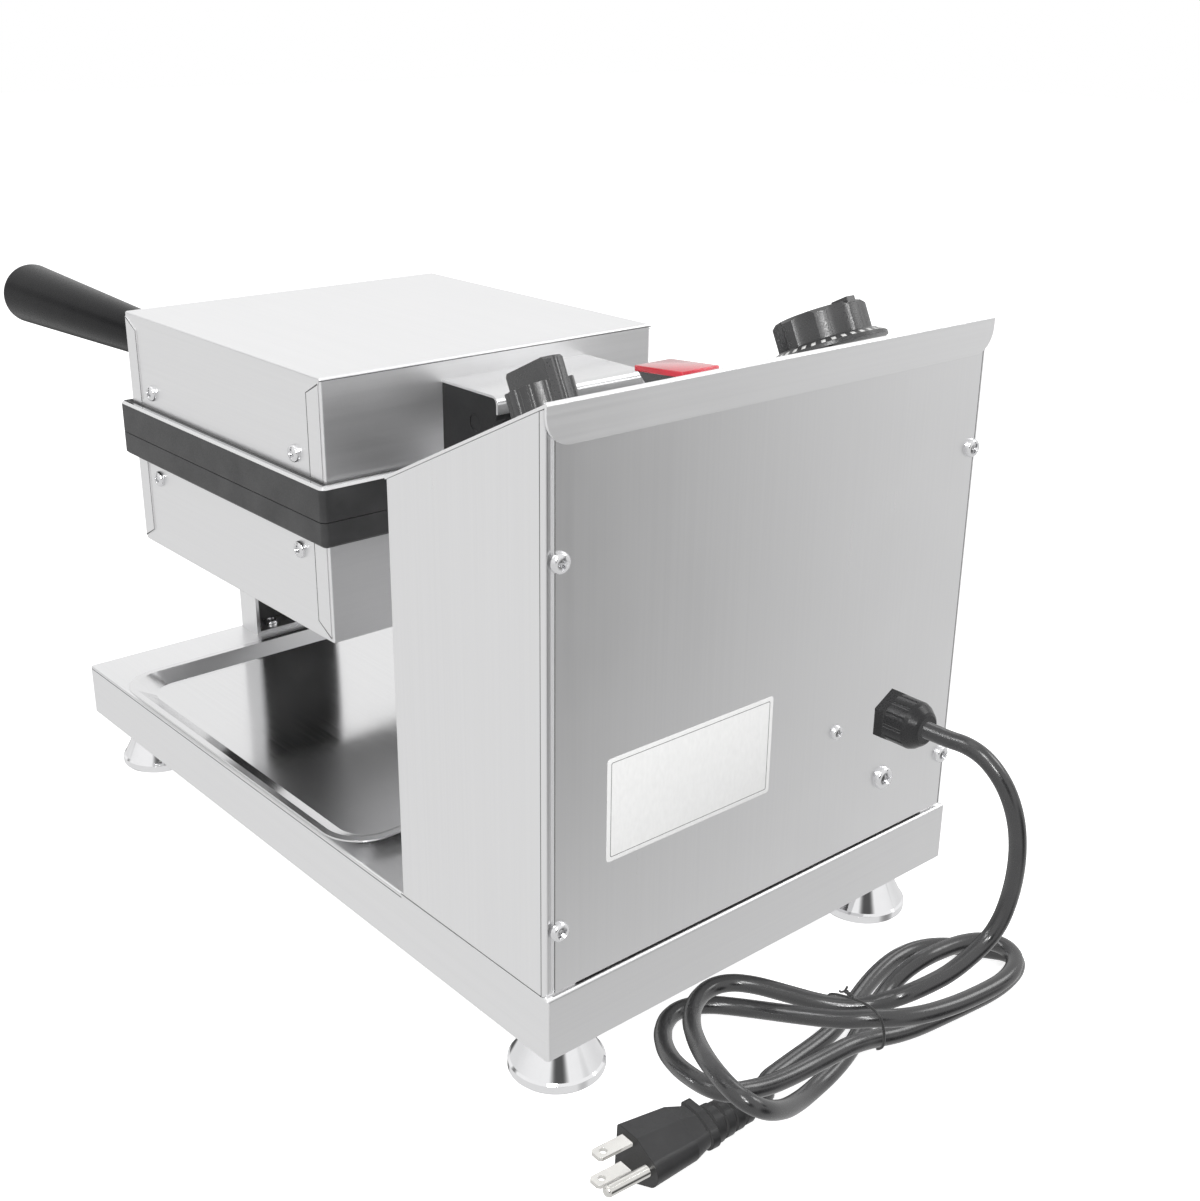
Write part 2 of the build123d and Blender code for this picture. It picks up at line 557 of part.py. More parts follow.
def pivot_bolts():
    """Bolts that hold the yoke and the front pivot bracket to the lower half."""
    rear = screws_at(yoke_screw_places(), CAP_SCREW, YOKE_PLATE + YOKE_STANDOFF + 6, "rear", YOKE_REAR_Y)
    shank = BRACKET_PLATE + BRACKET_STANDOFF + 6
    level = BRACKET_FRONT_Y + COUNTERBORE_DEPTH
    return rear + screws_at(bracket_screw_places(), CAP_SCREW, shank - COUNTERBORE_DEPTH, "front", level)


def gland_body():
    """Threaded gland body with its hexagonal flange outside the rear panel."""
    y = REAR_PANEL_Y
    body = facing(GLAND_X, y, GLAND_Z, (0, 1, 0)) * hexagon(GLAND_FLATS, GLAND_FLANGE)
    body += along_y(GLAND_THREAD_R, GLAND_X, GLAND_Z, y - 14, y)
    body += along_y(GLAND_THREAD_R, GLAND_X, GLAND_Z, y, y + GLAND_FLANGE + 6)
    return body - along_y(GLAND_BORE_R, GLAND_X, GLAND_Z, y - 20, y + 40)


def gland_nut():
    """Domed clamping nut with grip flutes, closed down on the cord."""
    start = GLAND_FLANGE + MOVING_GAP
    end = GLAND_REACH + BOX_SHEET
    r = GLAND_DOME_R
    flank = start + (end - start) * 0.62
    profile = make_face(Polyline(
        (GLAND_BORE_R, start), (r, start), (r, flank), (r * 0.93, flank + 2), (r * 0.72, end - 1),
        (r * 0.6, end), (GLAND_MOUTH_R, end), (GLAND_MOUTH_R, end - 1.2), (GLAND_BORE_R, end - 2), close=True))
    nut = revolve(Plane.XZ * profile, axis=Axis.Z)
    flutes = 12
    for i in range(flutes):
        turn = Rot(0, 0, 360 / flutes * i)
        nut -= turn * Pos(r + 0.5, 0, start) * Cylinder(1.1, 2 * (flank - start))
    nut -= Pos(0, 0, GLAND_FLANGE) * Cylinder(GLAND_THREAD_R, 12.2)
    return facing(GLAND_X, REAR_PANEL_Y, GLAND_Z, (0, 1, 0)) * nut


def gland_locknut():
    """Thin hexagonal nut inside the rear panel."""
    nut = facing(GLAND_X, LIP_Y, GLAND_Z, (0, -1, 0)) * hexagon(GLAND_FLATS, 5)
    return nut - along_y(GLAND_THREAD_R, GLAND_X, GLAND_Z, LIP_Y - 8, LIP_Y + 1)


def terminal_block():
    """Moulded mains terminal block with stepped screw towers, inside the rear panel."""
    z = BASE_TOP + TERMINAL_UP
    block_y = LIP_Y - 16
    body = block(TERMINAL_X - 24, TERMINAL_X + 24, block_y, LIP_Y, z - 9, z + 9)
    for i in (-1, 0, 1):
        tower = block(TERMINAL_X + 16 * i - 6, TERMINAL_X + 16 * i + 6, block_y - 5, block_y, z - 6, z + 6)
        body += tower - along_y(2.5, TERMINAL_X + 16 * i, z, block_y - 6, block_y - 1)
    return body - along_y(SMALL_SCREW[2], TERMINAL_X, z, LIP_Y - 12, LIP_Y + 1)


def timer_body():
    """Mechanical timer under the panel, with its spindle bush."""
    case = Box(TIMER_CASE_WIDTH, TIMER_CASE_LENGTH, TIMER_CASE_DEPTH)
    case = Pos(0, 0, -BOX_SHEET - TIMER_CASE_DEPTH / 2) * case
    case = fillet(case.edges().filter_by(Axis.Z), 4)
    bush = Pos(0, 0, -BOX_SHEET / 2 + 1) * Cylinder(SPINDLE_R + 1, BOX_SHEET + 2)
    body = case + bush
    body -= Pos(0, 0, 0) * Cylinder(SPINDLE_R + RUNNING_FIT, 24)
    return PANEL * (Pos(TIMER_X, TIMER_UP, 0) * body)


def thermostat_body():
    """Bulb thermostat under the panel, with its spindle bush and terminal blades."""
    case = Box(THERMOSTAT_CASE_WIDTH, THERMOSTAT_CASE_LENGTH, THERMOSTAT_CASE_DEPTH)
    case = Pos(0, 0, -BOX_SHEET - THERMOSTAT_CASE_DEPTH / 2) * case
    case = fillet(case.edges().filter_by(Axis.Z), 3)
    bush = Pos(0, 0, -BOX_SHEET / 2 + 1) * Cylinder(SPINDLE_R + 1, BOX_SHEET + 2)
    body = case + bush
    body -= Pos(0, 0, 0) * Cylinder(SPINDLE_R + RUNNING_FIT, 24)
    low = -BOX_SHEET - THERMOSTAT_CASE_DEPTH - TAB_LENGTH / 2
    for i in (-1, 1):
        body += Pos(1.4 * TAB_WIDTH * i, 0, low) * Box(TAB_WIDTH, TAB_THICKNESS, TAB_LENGTH)
    return PANEL * (Pos(THERMOSTAT_X, THERMOSTAT_UP, 0) * body)


def timer_knob():
    """Small fluted knob with a raised grip bar and its spindle."""
    r = TIMER_KNOB_R
    low = TIMER_KNOB_LIFT
    high = low + TIMER_KNOB_HEIGHT
    knob = Pos(0, 0, (low + high) / 2) * Cylinder(r, high - low)
    knob = chamfer(knob.edges().group_by(Axis.Z)[-1], 1.2)
    for i in range(TIMER_KNOB_FLUTES):
        turn = Rot(0, 0, 360 / TIMER_KNOB_FLUTES * (i + 0.5))
        knob -= turn * Pos(r + 0.7, 0, (low + high) / 2) * Cylinder(1.7, high - low + 2)
    for i in (-1, 1):
        knob -= Pos(i * (r + 4.6), 0, high - 4) * Box(2 * r, 2 * r, 9)
    knob += Pos(0, 0, -4) * extrude(Circle(SPINDLE_R), amount=low + 5)
    return PANEL * (Pos(TIMER_X, TIMER_UP, 0) * knob)


def thermostat_knob():
    """Broad lobed knob with a pointer rib and its spindle."""
    r = THERMOSTAT_KNOB_R
    low = DIAL_LIFT + DIAL_HEIGHT
    high = low + THERMOSTAT_KNOB_HEIGHT
    knob = Pos(0, 0, (low + high) / 2) * Cylinder(r, high - low)
    knob = chamfer(knob.edges().group_by(Axis.Z)[-1], 1.5)
    for i in range(THERMOSTAT_KNOB_LOBES):
        turn = Rot(0, 0, 360 / THERMOSTAT_KNOB_LOBES * (i + 0.5))
        knob -= turn * Pos(r + 11.2, 0, (low + high) / 2) * Cylinder(13, high - low + 2)
    knob += Pos(0, r - 5, (low + high) / 2 + 0.8) * Box(5, 9, high - low + 1.6)
    knob += Pos(0, 0, -4) * extrude(Circle(SPINDLE_R), amount=low + 5)
    return PANEL * (Pos(THERMOSTAT_X, THERMOSTAT_UP, 0) * knob)


def thermostat_dial():
    """Dial skirt under the thermostat knob, with a sloping scale edge."""
    profile = make_face(Polyline(
        (SPINDLE_R, DIAL_LIFT), (DIAL_R, DIAL_LIFT), (DIAL_R, DIAL_LIFT + 1.6),
        (DIAL_R - 4, DIAL_LIFT + DIAL_HEIGHT), (SPINDLE_R, DIAL_LIFT + DIAL_HEIGHT), close=True))
    skirt = revolve(Plane.XZ * profile, axis=Axis.Z)
    return PANEL * (Pos(THERMOSTAT_X, THERMOSTAT_UP, 0) * skirt)


def switch_housing():
    """Snap-in rocker switch body with a bezel on the panel and spade terminals below."""
    length = SWITCH_LENGTH + 2 * SWITCH_BEZEL
    width = SWITCH_WIDTH + 2 * SWITCH_BEZEL
    bezel = Pos(0, 0, SWITCH_BEZEL_HEIGHT / 2) * Box(width, length, SWITCH_BEZEL_HEIGHT)
    bezel = chamfer(bezel.edges().group_by(Axis.Z)[-1], 0.8)
    fit = 2 * SHEET_GAP
    case = Pos(0, 0, -SWITCH_DEPTH / 2) * Box(SWITCH_WIDTH - fit, SWITCH_LENGTH - fit, SWITCH_DEPTH)
    body = bezel + case
    well = SWITCH_DEPTH / 2
    body -= Pos(0, 0, (SWITCH_BEZEL_HEIGHT - well) / 2) * Box(
        SWITCH_WIDTH - 2, SWITCH_LENGTH - 2, SWITCH_BEZEL_HEIGHT + well + 0.01)
    for i in (-1, 1):
        low = -SWITCH_DEPTH - TAB_LENGTH / 2
        body += Pos(0, SWITCH_LENGTH / 4 * i, low) * Box(TAB_WIDTH, TAB_THICKNESS, TAB_LENGTH)
    return PANEL * (Pos(SWITCH_X, SWITCH_UP, 0) * body)


def rocker():
    """Rocker cap that tips about a pin across the switch, its ridge-side half pressed."""
    reach = SWITCH_LENGTH / 2 - 1 - 2 * MOVING_GAP
    width = SWITCH_WIDTH - 2 - 2 * MOVING_GAP
    cap = make_face(Polyline(
        (-reach, ROCKER_RISE + 0.6), (0, ROCKER_RISE - 0.6), (reach, ROCKER_RISE + 0.6),
        (reach * 0.94, 1), (4, -4), (-4, -4), (-reach * 0.94, 1), close=True))
    cap = Pos(-width / 2, 0, 0) * extrude(Plane.YZ * cap, amount=width)
    cap = Rot(-ROCKER_TILT, 0, 0) * cap
    return PANEL * (Pos(SWITCH_X, SWITCH_UP, SWITCH_BEZEL_HEIGHT) * cap)


def bearing_bolt_places():
    """Four bolts round the bearing flange."""
    angles = [math.radians(a) for a in (45, 135, 225, 315)]
    radius = BEARING_BOLT_RADIUS
    return [(radius * math.cos(a), AXIS_HEIGHT + radius * math.sin(a)) for a in angles]


def stop_angle():
    """The angle between the stop arm and a stop pin when they meet, with a little clearance."""
    return math.degrees(math.asin((STOP_ARM_WIDTH / 2 + STOP_PIN_R) / STOP_RADIUS)) + 0.7


def stop_pin_places():
    """Two pins, just below the level of the axis, that end the head's half turn."""
    down = math.radians(stop_angle())
    return [(i * STOP_RADIUS * math.cos(down), AXIS_HEIGHT - STOP_RADIUS * math.sin(down)) for i in (-1, 1)]


def bearing_housing():
    """Flanged plain bearing through the box's front wall."""
    housing = along_y(BEARING_FLANGE_R, 0, AXIS_HEIGHT, BEARING_FRONT_Y, BOX_FRONT_Y)
    housing = chamfer(housing.edges().group_by(Axis.Y)[0], 1.5)
    housing += along_y(BEARING_BARREL_R, 0, AXIS_HEIGHT, BOX_FRONT_Y - 1, BEARING_REAR_Y)
    housing -= along_y(SHAFT_R + RUNNING_FIT, 0, AXIS_HEIGHT, BEARING_FRONT_Y - 1, BEARING_REAR_Y + 1)
    for x, z in bearing_bolt_places():
        housing -= along_y(CAP_SCREW[2], x, z, BEARING_FRONT_Y - 1, BOX_FRONT_Y + 1)
    for x, z in stop_pin_places():
        housing -= along_y(CAP_SCREW[2], x, z, BOX_FRONT_Y - STOP_PIN_THREAD, BOX_FRONT_Y + 1)
    return housing


def stop_pins():
    """The two fixed stops inside the control box, screwed into the bearing's flange."""
    pins = []
    for x, z in stop_pin_places():
        pin = along_y(STOP_PIN_R, x, z, BOX_FRONT_Y + BOX_SHEET, COLLAR_REAR_Y)
        pins.append(pin + along_y(CAP_SCREW[2], x, z, BOX_FRONT_Y - STOP_PIN_THREAD, BOX_FRONT_Y + BOX_SHEET))
    return pins


def front_post():
    """Channel post, open to the rear, with a foot plate and a hole for the bush."""
    half = POST_WIDTH / 2
    top = AXIS_HEIGHT + POST_TOP_RISE
    post = block(-half, half, POST_FRONT_Y, POST_REAR_Y, BASE_TOP, top)
    post = fillet(post.edges().filter_by(Axis.Y).group_by(Axis.Z)[-1], POST_CORNER_R)
    inside = block(POST_SHEET - half, half - POST_SHEET, POST_FRONT_Y + POST_SHEET, POST_REAR_Y + 1,
                   BASE_TOP + POST_SHEET, top - POST_SHEET)
    post -= fillet(inside.edges().filter_by(Axis.Y).group_by(Axis.Z)[-1], POST_CORNER_R - POST_SHEET)
    post -= along_y(BUSH_R, 0, AXIS_HEIGHT, POST_FRONT_Y - 1, POST_FRONT_Y + 2 * POST_SHEET)
    for x, y in post_screw_places():
        post -= along_z(PAN_SCREW[2], x, y, BASE_TOP - 1, BASE_TOP + 2 * POST_SHEET)
    return post


def front_bush():
    """Flanged bronze bush in the post."""
    y0 = POST_FRONT_Y - 1.5
    y1 = POST_REAR_Y - 3
    bush = along_y(BUSH_R, 0, AXIS_HEIGHT, y0, y1)
    bush += along_y(BUSH_FLANGE_R, 0, AXIS_HEIGHT, POST_FRONT_Y + POST_SHEET, POST_FRONT_Y + POST_SHEET + BUSH_FLANGE)
    return bush - along_y(STUB_R + RUNNING_FIT, 0, AXIS_HEIGHT, y0 - 1, y1 + 1)


def drip_tray():
    """Shallow pressed tray with rounded corners, a sloping wall and a narrow flat rim."""
    y = BASE_FRONT_Y + TRAY_SETBACK + TRAY_LENGTH / 2
    floor = BASE_TOP + MOVING_GAP
    rim = floor + TRAY_RIM_HEIGHT
    sheet = TRAY_SHEET

    def outline(inset, z):
        shape = RectangleRounded(TRAY_WIDTH - 2 * inset, TRAY_LENGTH - 2 * inset, TRAY_CORNER_R - inset / 2)
        return Pos(0, y, z) * shape

    wall_foot = TRAY_RIM + TRAY_SLOPE
    body = loft([outline(wall_foot, floor), outline(TRAY_RIM, rim - sheet)])
    body += extrude(outline(0, rim - sheet), amount=sheet)
    hollow = loft([outline(wall_foot + sheet, floor + sheet), outline(TRAY_RIM + sheet, rim)])
    return body - hollow


def pockets(face_z, side):
    """Spheres that cut the bubbles: side is 1 above the face and -1 below it."""
    sphere_r = (POCKET_RADIUS ** 2 + POCKET_DEPTH ** 2) / (2 * POCKET_DEPTH)
    floor_z = face_z + side * FIELD_DEPTH
    centre_z = floor_z + side * (POCKET_DEPTH - sphere_r)
    row_step = POCKET_PITCH * math.sqrt(3) / 2
    reach = FIELD_RADIUS - POCKET_RADIUS - 1
    rows = int(reach / row_step)
    places = []
    for row in range(-rows, rows + 1):
        shift = POCKET_PITCH / 2 * (row % 2)
        for column in range(-rows - 2, rows + 3):
            x, y = column * POCKET_PITCH + shift, row * row_step
            if math.hypot(x, y) < reach:
                places.append((x, y))
    return [Pos(x, HEAD_MIDDLE_Y + y, centre_z) * Sphere(sphere_r) for x, y in places]


def side_screw_places():
    """Along the head: where the side screws of both covers are."""
    return (HEAD_FRONT_Y + SIDE_SCREW_INSET, HEAD_REAR_Y - SIDE_SCREW_INSET)


def mould_plate(face_z, edge, side):
    """Cast mould plate: bubble field and gutter on its face, a rim for the cover behind it."""
    back = face_z + side * edge
    width = HEAD_WIDTH + 2 * PLATE_OVERHANG
    length = HEAD_LENGTH + 2 * PLATE_OVERHANG
    slab = Pos(0, HEAD_MIDDLE_Y, (face_z + back) / 2) * Box(width, length, edge)
    slab = fillet(slab.edges().filter_by(Axis.Z), PLATE_CORNER_R)
    edges = slab.edges().group_by(Axis.Z)
    slab = chamfer(edges[-1] if side > 0 else edges[0], 1.2)
    fit = 2 * (COVER_SHEET + COVER_FIT)
    low, high = sorted((back - side, back + side * RIM_HEIGHT))
    slab += rect_ring(HEAD_WIDTH - fit, HEAD_LENGTH - fit, RIM_WALL, HEAD_MIDDLE_Y, low, high)
    low, high = sorted((back - side, back + side * PLATE_BACK))
    slab += Pos(0, HEAD_MIDDLE_Y, (low + high) / 2) * Box(HEAD_WIDTH - fit, HEAD_LENGTH - fit, high - low)
    slab -= Pos(0, HEAD_MIDDLE_Y, face_z) * Cylinder(FIELD_RADIUS, 2 * FIELD_DEPTH)
    ring = Cylinder(GUTTER_RADIUS, 2 * GUTTER_DEPTH) - Cylinder(GUTTER_RADIUS - GUTTER_WIDTH, 2 * GUTTER_DEPTH + 2)
    slab -= Pos(0, HEAD_MIDDLE_Y, face_z) * ring
    slab -= pockets(face_z, side)
    hole_z = back + side * SIDE_SCREW_UP
    for y in side_screw_places():
        for i in (-1, 1):
            outside = i * HEAD_WIDTH / 2
            low, high = sorted((outside - i * (COVER_SHEET + COVER_FIT + RIM_WALL - 1), outside + i))
            slab -= along_x(PAN_SCREW[2], y, hole_z, low, high)
    return slab


def upper_plate():
    """The upper mould plate. The handle, hinge and latch are screwed into its rim."""
    plate = mould_plate(UPPER_FACE, UPPER_PLATE_EDGE, 1)
    depth = HEAD_REAR_Y - COVER_SHEET - COVER_FIT - RIM_WALL + 1
    for x, z in hinge_screw_places():
        plate -= along_y(SMALL_SCREW[2], x, z, depth, HEAD_REAR_Y + 1)
    front = HEAD_FRONT_Y + COVER_SHEET + COVER_FIT + RIM_WALL - 1
    return plate - along_y(SMALL_SCREW[2], LATCH_X, LATCH_PIVOT_Z, HEAD_FRONT_Y - 1, front)


def lower_plate():
    """The lower mould plate. The yoke, the front bracket and the latch peg are screwed into its rim."""
    plate = mould_plate(LOWER_FACE, LOWER_PLATE_EDGE, -1)
    depth = HEAD_REAR_Y - COVER_SHEET - COVER_FIT - RIM_WALL + 1
    for x, z in yoke_screw_places():
        plate -= along_y(CAP_SCREW[2], x, z, depth, HEAD_REAR_Y + 1)
    front = HEAD_FRONT_Y + COVER_SHEET + COVER_FIT + RIM_WALL - 1
    for x, z in bracket_screw_places():
        plate -= along_y(CAP_SCREW[2], x, z, HEAD_FRONT_Y - 1, front)
    return plate - along_y(SMALL_SCREW[2], LATCH_X, LATCH_PEG_Z, HEAD_FRONT_Y - 1, front)


def cover(open_z, height, side):
    """Folded sheet cover, open on one side, with corner tabs on its two side faces."""
    closed_z = open_z + side * height
    body = Pos(0, HEAD_MIDDLE_Y, (open_z + closed_z) / 2) * Box(HEAD_WIDTH, HEAD_LENGTH, height)
    ends = body.edges().group_by(Axis.Z)
    bends = body.edges().filter_by(Axis.Z) + (ends[-1] if side > 0 else ends[0])
    body = fillet(bends, COVER_BEND_R)
    low, high = sorted((open_z - side, closed_z - side * COVER_SHEET))
    inner = Box(HEAD_WIDTH - 2 * COVER_SHEET, HEAD_LENGTH - 2 * COVER_SHEET, high - low)
    body -= Pos(0, HEAD_MIDDLE_Y, (low + high) / 2) * inner
    top = closed_z - side * 2 * COVER_BEND_R
    for y, j in ((HEAD_FRONT_Y, 1), (HEAD_REAR_Y, -1)):
        start = y + j * COVER_BEND_R
        tab = [(start, open_z + side), (start, top), (y + j * COVER_TAB, top - side * COVER_TAB / 2),
               (y + j * COVER_TAB, open_z + side)]
        for i in (-1, 1):
            x0, x1 = sorted((i * (HEAD_WIDTH / 2 - COVER_SHEET / 2), i * (HEAD_WIDTH / 2 + COVER_TAB_PROUD)))
            body += side_profile(tab, x0, x1)
    hole_z = open_z + side * SIDE_SCREW_UP
    for y in side_screw_places():
        body -= along_x(PAN_SCREW[2], y, hole_z, -HEAD_WIDTH, HEAD_WIDTH)
    return body


def upper_cover():
    """Cover of the upper half, drilled for the handle, the hinge and the latch."""
    body = cover(UPPER_COVER_BOTTOM, UPPER_COVER_HEIGHT, 1)
    body -= along_y(ROD_R, HANDLE_X, HANDLE_Z, HEAD_FRONT_Y - 1, HEAD_FRONT_Y + 5)
    body -= along_y(SMALL_SCREW[2], LATCH_X, LATCH_PIVOT_Z, HEAD_FRONT_Y - 1, HEAD_FRONT_Y + 5)
    for x, z in hinge_screw_places():
        body -= along_y(SMALL_SCREW[2], x, z, HEAD_REAR_Y - 5, HEAD_REAR_Y + 1)
    return body


def lower_cover():
    """Cover of the lower half, drilled for the yoke, the front bracket and the latch peg."""
    body = cover(LOWER_COVER_TOP, LOWER_COVER_HEIGHT, -1)
    for x, z in yoke_screw_places():
        body -= along_y(CAP_SCREW[2], x, z, HEAD_REAR_Y - 5, HEAD_REAR_Y + 1)
    for x, z in bracket_screw_places():
        body -= along_y(CAP_SCREW[2], x, z, HEAD_FRONT_Y - 1, HEAD_FRONT_Y + 5)
    return body - along_y(SMALL_SCREW[2], LATCH_X, LATCH_PEG_Z, HEAD_FRONT_Y - 1, HEAD_FRONT_Y + 5)


def cover_screws(open_z, side):
    """Pan-head screws through a cover's side faces into the plate's rim."""
    z = open_z + side * SIDE_SCREW_UP
    shank = COVER_SHEET + COVER_FIT + RIM_WALL - 2
    return [facing(i * HEAD_WIDTH / 2, y, z, (i, 0, 0)) * screw(PAN_SCREW, shank)
            for y in side_screw_places() for i in (-1, 1)]


def heating_element(back_z, side):
    """Tubular heater bent in two loops, seated on a plate's back, its cold ends at the rear."""
    z = back_z + side * (PLATE_BACK + HEATER_R)
    span = HEATER_SPAN
    front = HEAD_MIDDLE_Y - span
    rear = HEAD_MIDDLE_Y + span
    inner = span / 3
    route = [(-span, rear, z), (-span, front, z), (-inner, front, z), (-inner, rear - span / 3, z),
             (inner, rear - span / 3, z), (inner, front, z), (span, front, z), (span, rear, z)]
    path = FilletPolyline(*route, radius=HEATER_BEND_R)
    start = Plane(origin=route[0], z_dir=(0, -1, 0))
    return sweep(start * Circle(HEATER_R), path=path)


def temperature_probe():
    """Thermostat bulb that lies on the lower plate's back."""
    z = LOWER_COVER_TOP - PLATE_BACK - PROBE_R
    return along_y(PROBE_R, 0, z, HEAD_MIDDLE_Y - PROBE_LENGTH / 2, HEAD_MIDDLE_Y + PROBE_LENGTH / 2)


def hinge_screw_places():
    """A row of four screws that hold the hinge bracket to the upper half."""
    z = UPPER_COVER_BOTTOM + RIM_HEIGHT - SMALL_SCREW[0] - 1
    reach = HINGE_WIDTH / 2 - HINGE_CHEEK - EAR_THICKNESS - 6
    return [(HINGE_X + i * reach, z) for i in (-1, -0.4, 0.4, 1)]


def hinge_bracket():
    """Black bracket behind the upper half: a back plate and two cheeks that hold the pin."""
    top = AXIS_HEIGHT + HINGE_TOP_RISE - HINGE_COVER_SHEET
    foot_z = AXIS_HEIGHT + HINGE_FOOT_RISE
    rear = HEAD_REAR_Y + HINGE_REACH - HINGE_COVER_SHEET
    corner = top - HINGE_REAR_DROP
    cheek = [(HEAD_REAR_Y, foot_z), (HEAD_REAR_Y, top), (rear, top), (rear, corner),
             (rear - HINGE_CHAMFER, corner - HINGE_CHAMFER), (rear - HINGE_CHAMFER - 1, foot_z)]
    x0 = HINGE_X - HINGE_WIDTH / 2
    x1 = HINGE_X + HINGE_WIDTH / 2
    bracket = side_profile(cheek, x0, x0 + HINGE_CHEEK) + side_profile(cheek, x1 - HINGE_CHEEK, x1)
    bracket += block(x0, x1, HEAD_REAR_Y, HEAD_REAR_Y + HINGE_BACK, foot_z, top)
    bracket -= along_x(PIN_R, PIN_Y, PIN_Z, x0 - 1, x1 + 1)
    for x, z in hinge_screw_places():
        bracket -= along_y(SMALL_SCREW[2], x, z, HEAD_REAR_Y - 1, HEAD_REAR_Y + 5)
    return bracket


def hinge_cover():
    """Polished sheet over the hinge: a top and a short drop behind, with rounded corners."""
    x0 = HINGE_X - HINGE_WIDTH / 2
    x1 = HINGE_X + HINGE_WIDTH / 2
    top = AXIS_HEIGHT + HINGE_TOP_RISE
    rear = HEAD_REAR_Y + HINGE_REACH
    sheet = block(x0, x1, HEAD_REAR_Y, rear, top - HINGE_COVER_SHEET - HINGE_COVER_DROP, top)
    sheet = fillet(sheet.edges().filter_by(Axis.X).group_by(Axis.Y)[-1].group_by(Axis.Z)[-1], HINGE_COVER_SHEET)
    sheet -= block(x0 - 1, x1 + 1, HEAD_REAR_Y - 1, rear - HINGE_COVER_SHEET, top - 30, top - HINGE_COVER_SHEET)
    return sheet


def hinge_pin():
    """Steel pin through the bracket's cheeks and the yoke's ears."""
    x0 = HINGE_X - HINGE_WIDTH / 2
    x1 = HINGE_X + HINGE_WIDTH / 2
    return along_x(PIN_R, PIN_Y, PIN_Z, x0 + 0.4, x1 - 0.4)


def yoke_screw_places():
    """A row of four bolts, below the shaft's boss, through the yoke's foot into the lower half."""
    reach = HINGE_WIDTH / 2 - 12
    z = LOWER_COVER_TOP - RIM_HEIGHT + CAP_SCREW[2] + 0.6
    return [(HINGE_X + i * reach, z) for i in (-1, -0.5, 0.5, 1)]


def yoke():
    """Plate behind the lower half with a stand-off foot, a shaft boss and two hinge ears."""
    x0 = HINGE_X - HINGE_WIDTH / 2 + HINGE_CHEEK
    x1 = HINGE_X + HINGE_WIDTH / 2 - HINGE_CHEEK
    bottom = AXIS_HEIGHT - YOKE_DROP
    top = AXIS_HEIGHT - YOKE_TOP_DROP
    plate = block(x0, x1, YOKE_FRONT_Y, YOKE_REAR_Y, bottom, top)
    plate = fillet(plate.edges().filter_by(Axis.Y), 5)
    plate += block(x0 + 5, x1 - 5, HEAD_REAR_Y, YOKE_FRONT_Y, bottom + 5, AXIS_HEIGHT - YOKE_PAD_TOP)
    plate += along_y(YOKE_BOSS_R, 0, AXIS_HEIGHT, YOKE_REAR_Y, YOKE_REAR_Y + YOKE_BOSS_LENGTH)
    ear_foot = top - 12
    lean = [(YOKE_FRONT_Y, ear_foot), (YOKE_FRONT_Y, PIN_Z - EAR_R * 0.6), (PIN_Y, PIN_Z),
            (PIN_Y + EAR_R * 0.75, PIN_Z - EAR_R * 0.6), (YOKE_REAR_Y + 4, ear_foot)]
    for a, b in ((x0 + MOVING_GAP, x0 + MOVING_GAP + EAR_THICKNESS), (x1 - MOVING_GAP - EAR_THICKNESS, x1 - MOVING_GAP)):
        plate += side_profile(lean, a, b) + along_x(EAR_R, PIN_Y, PIN_Z, a, b)
    plate -= along_x(PIN_R + RUNNING_FIT, PIN_Y, PIN_Z, x0 - 1, x1 + 1)
    plate -= along_y(SHAFT_R, 0, AXIS_HEIGHT, YOKE_FRONT_Y - 1, YOKE_REAR_Y + YOKE_BOSS_LENGTH + 1)
    for x, z in yoke_screw_places():
        plate -= along_y(CAP_SCREW[2], x, z, HEAD_REAR_Y - 1, YOKE_REAR_Y + 1)
    return plate


def rear_shaft():
    """Hollow shaft that turns in the rear bearing and carries the heater leads."""
    shaft = along_y(SHAFT_R, 0, AXIS_HEIGHT, YOKE_FRONT_Y, COLLAR_REAR_Y + 4)
    return shaft - along_y(SHAFT_BORE_R, 0, AXIS_HEIGHT, YOKE_FRONT_Y - 1, COLLAR_REAR_Y + 5)


def stop_collar():
    """Collar that keeps the shaft in its bearing, with the arm that meets the stop pins."""
    collar = along_y(COLLAR_R, 0, AXIS_HEIGHT, COLLAR_FRONT_Y, COLLAR_REAR_Y)
    half = STOP_ARM_WIDTH / 2
    collar += block(SHAFT_R, STOP_ARM_REACH, COLLAR_FRONT_Y, COLLAR_REAR_Y, AXIS_HEIGHT - half, AXIS_HEIGHT + half)
    return collar - along_y(SHAFT_R, 0, AXIS_HEIGHT, COLLAR_FRONT_Y - 1, COLLAR_REAR_Y + 1)


def bracket_screw_places():
    """Two bolts through the front bracket's foot into the lower half."""
    z = LOWER_COVER_TOP - SIDE_SCREW_UP
    return [(i * (BRACKET_WIDTH / 2 - 9), z) for i in (-1, 1)]


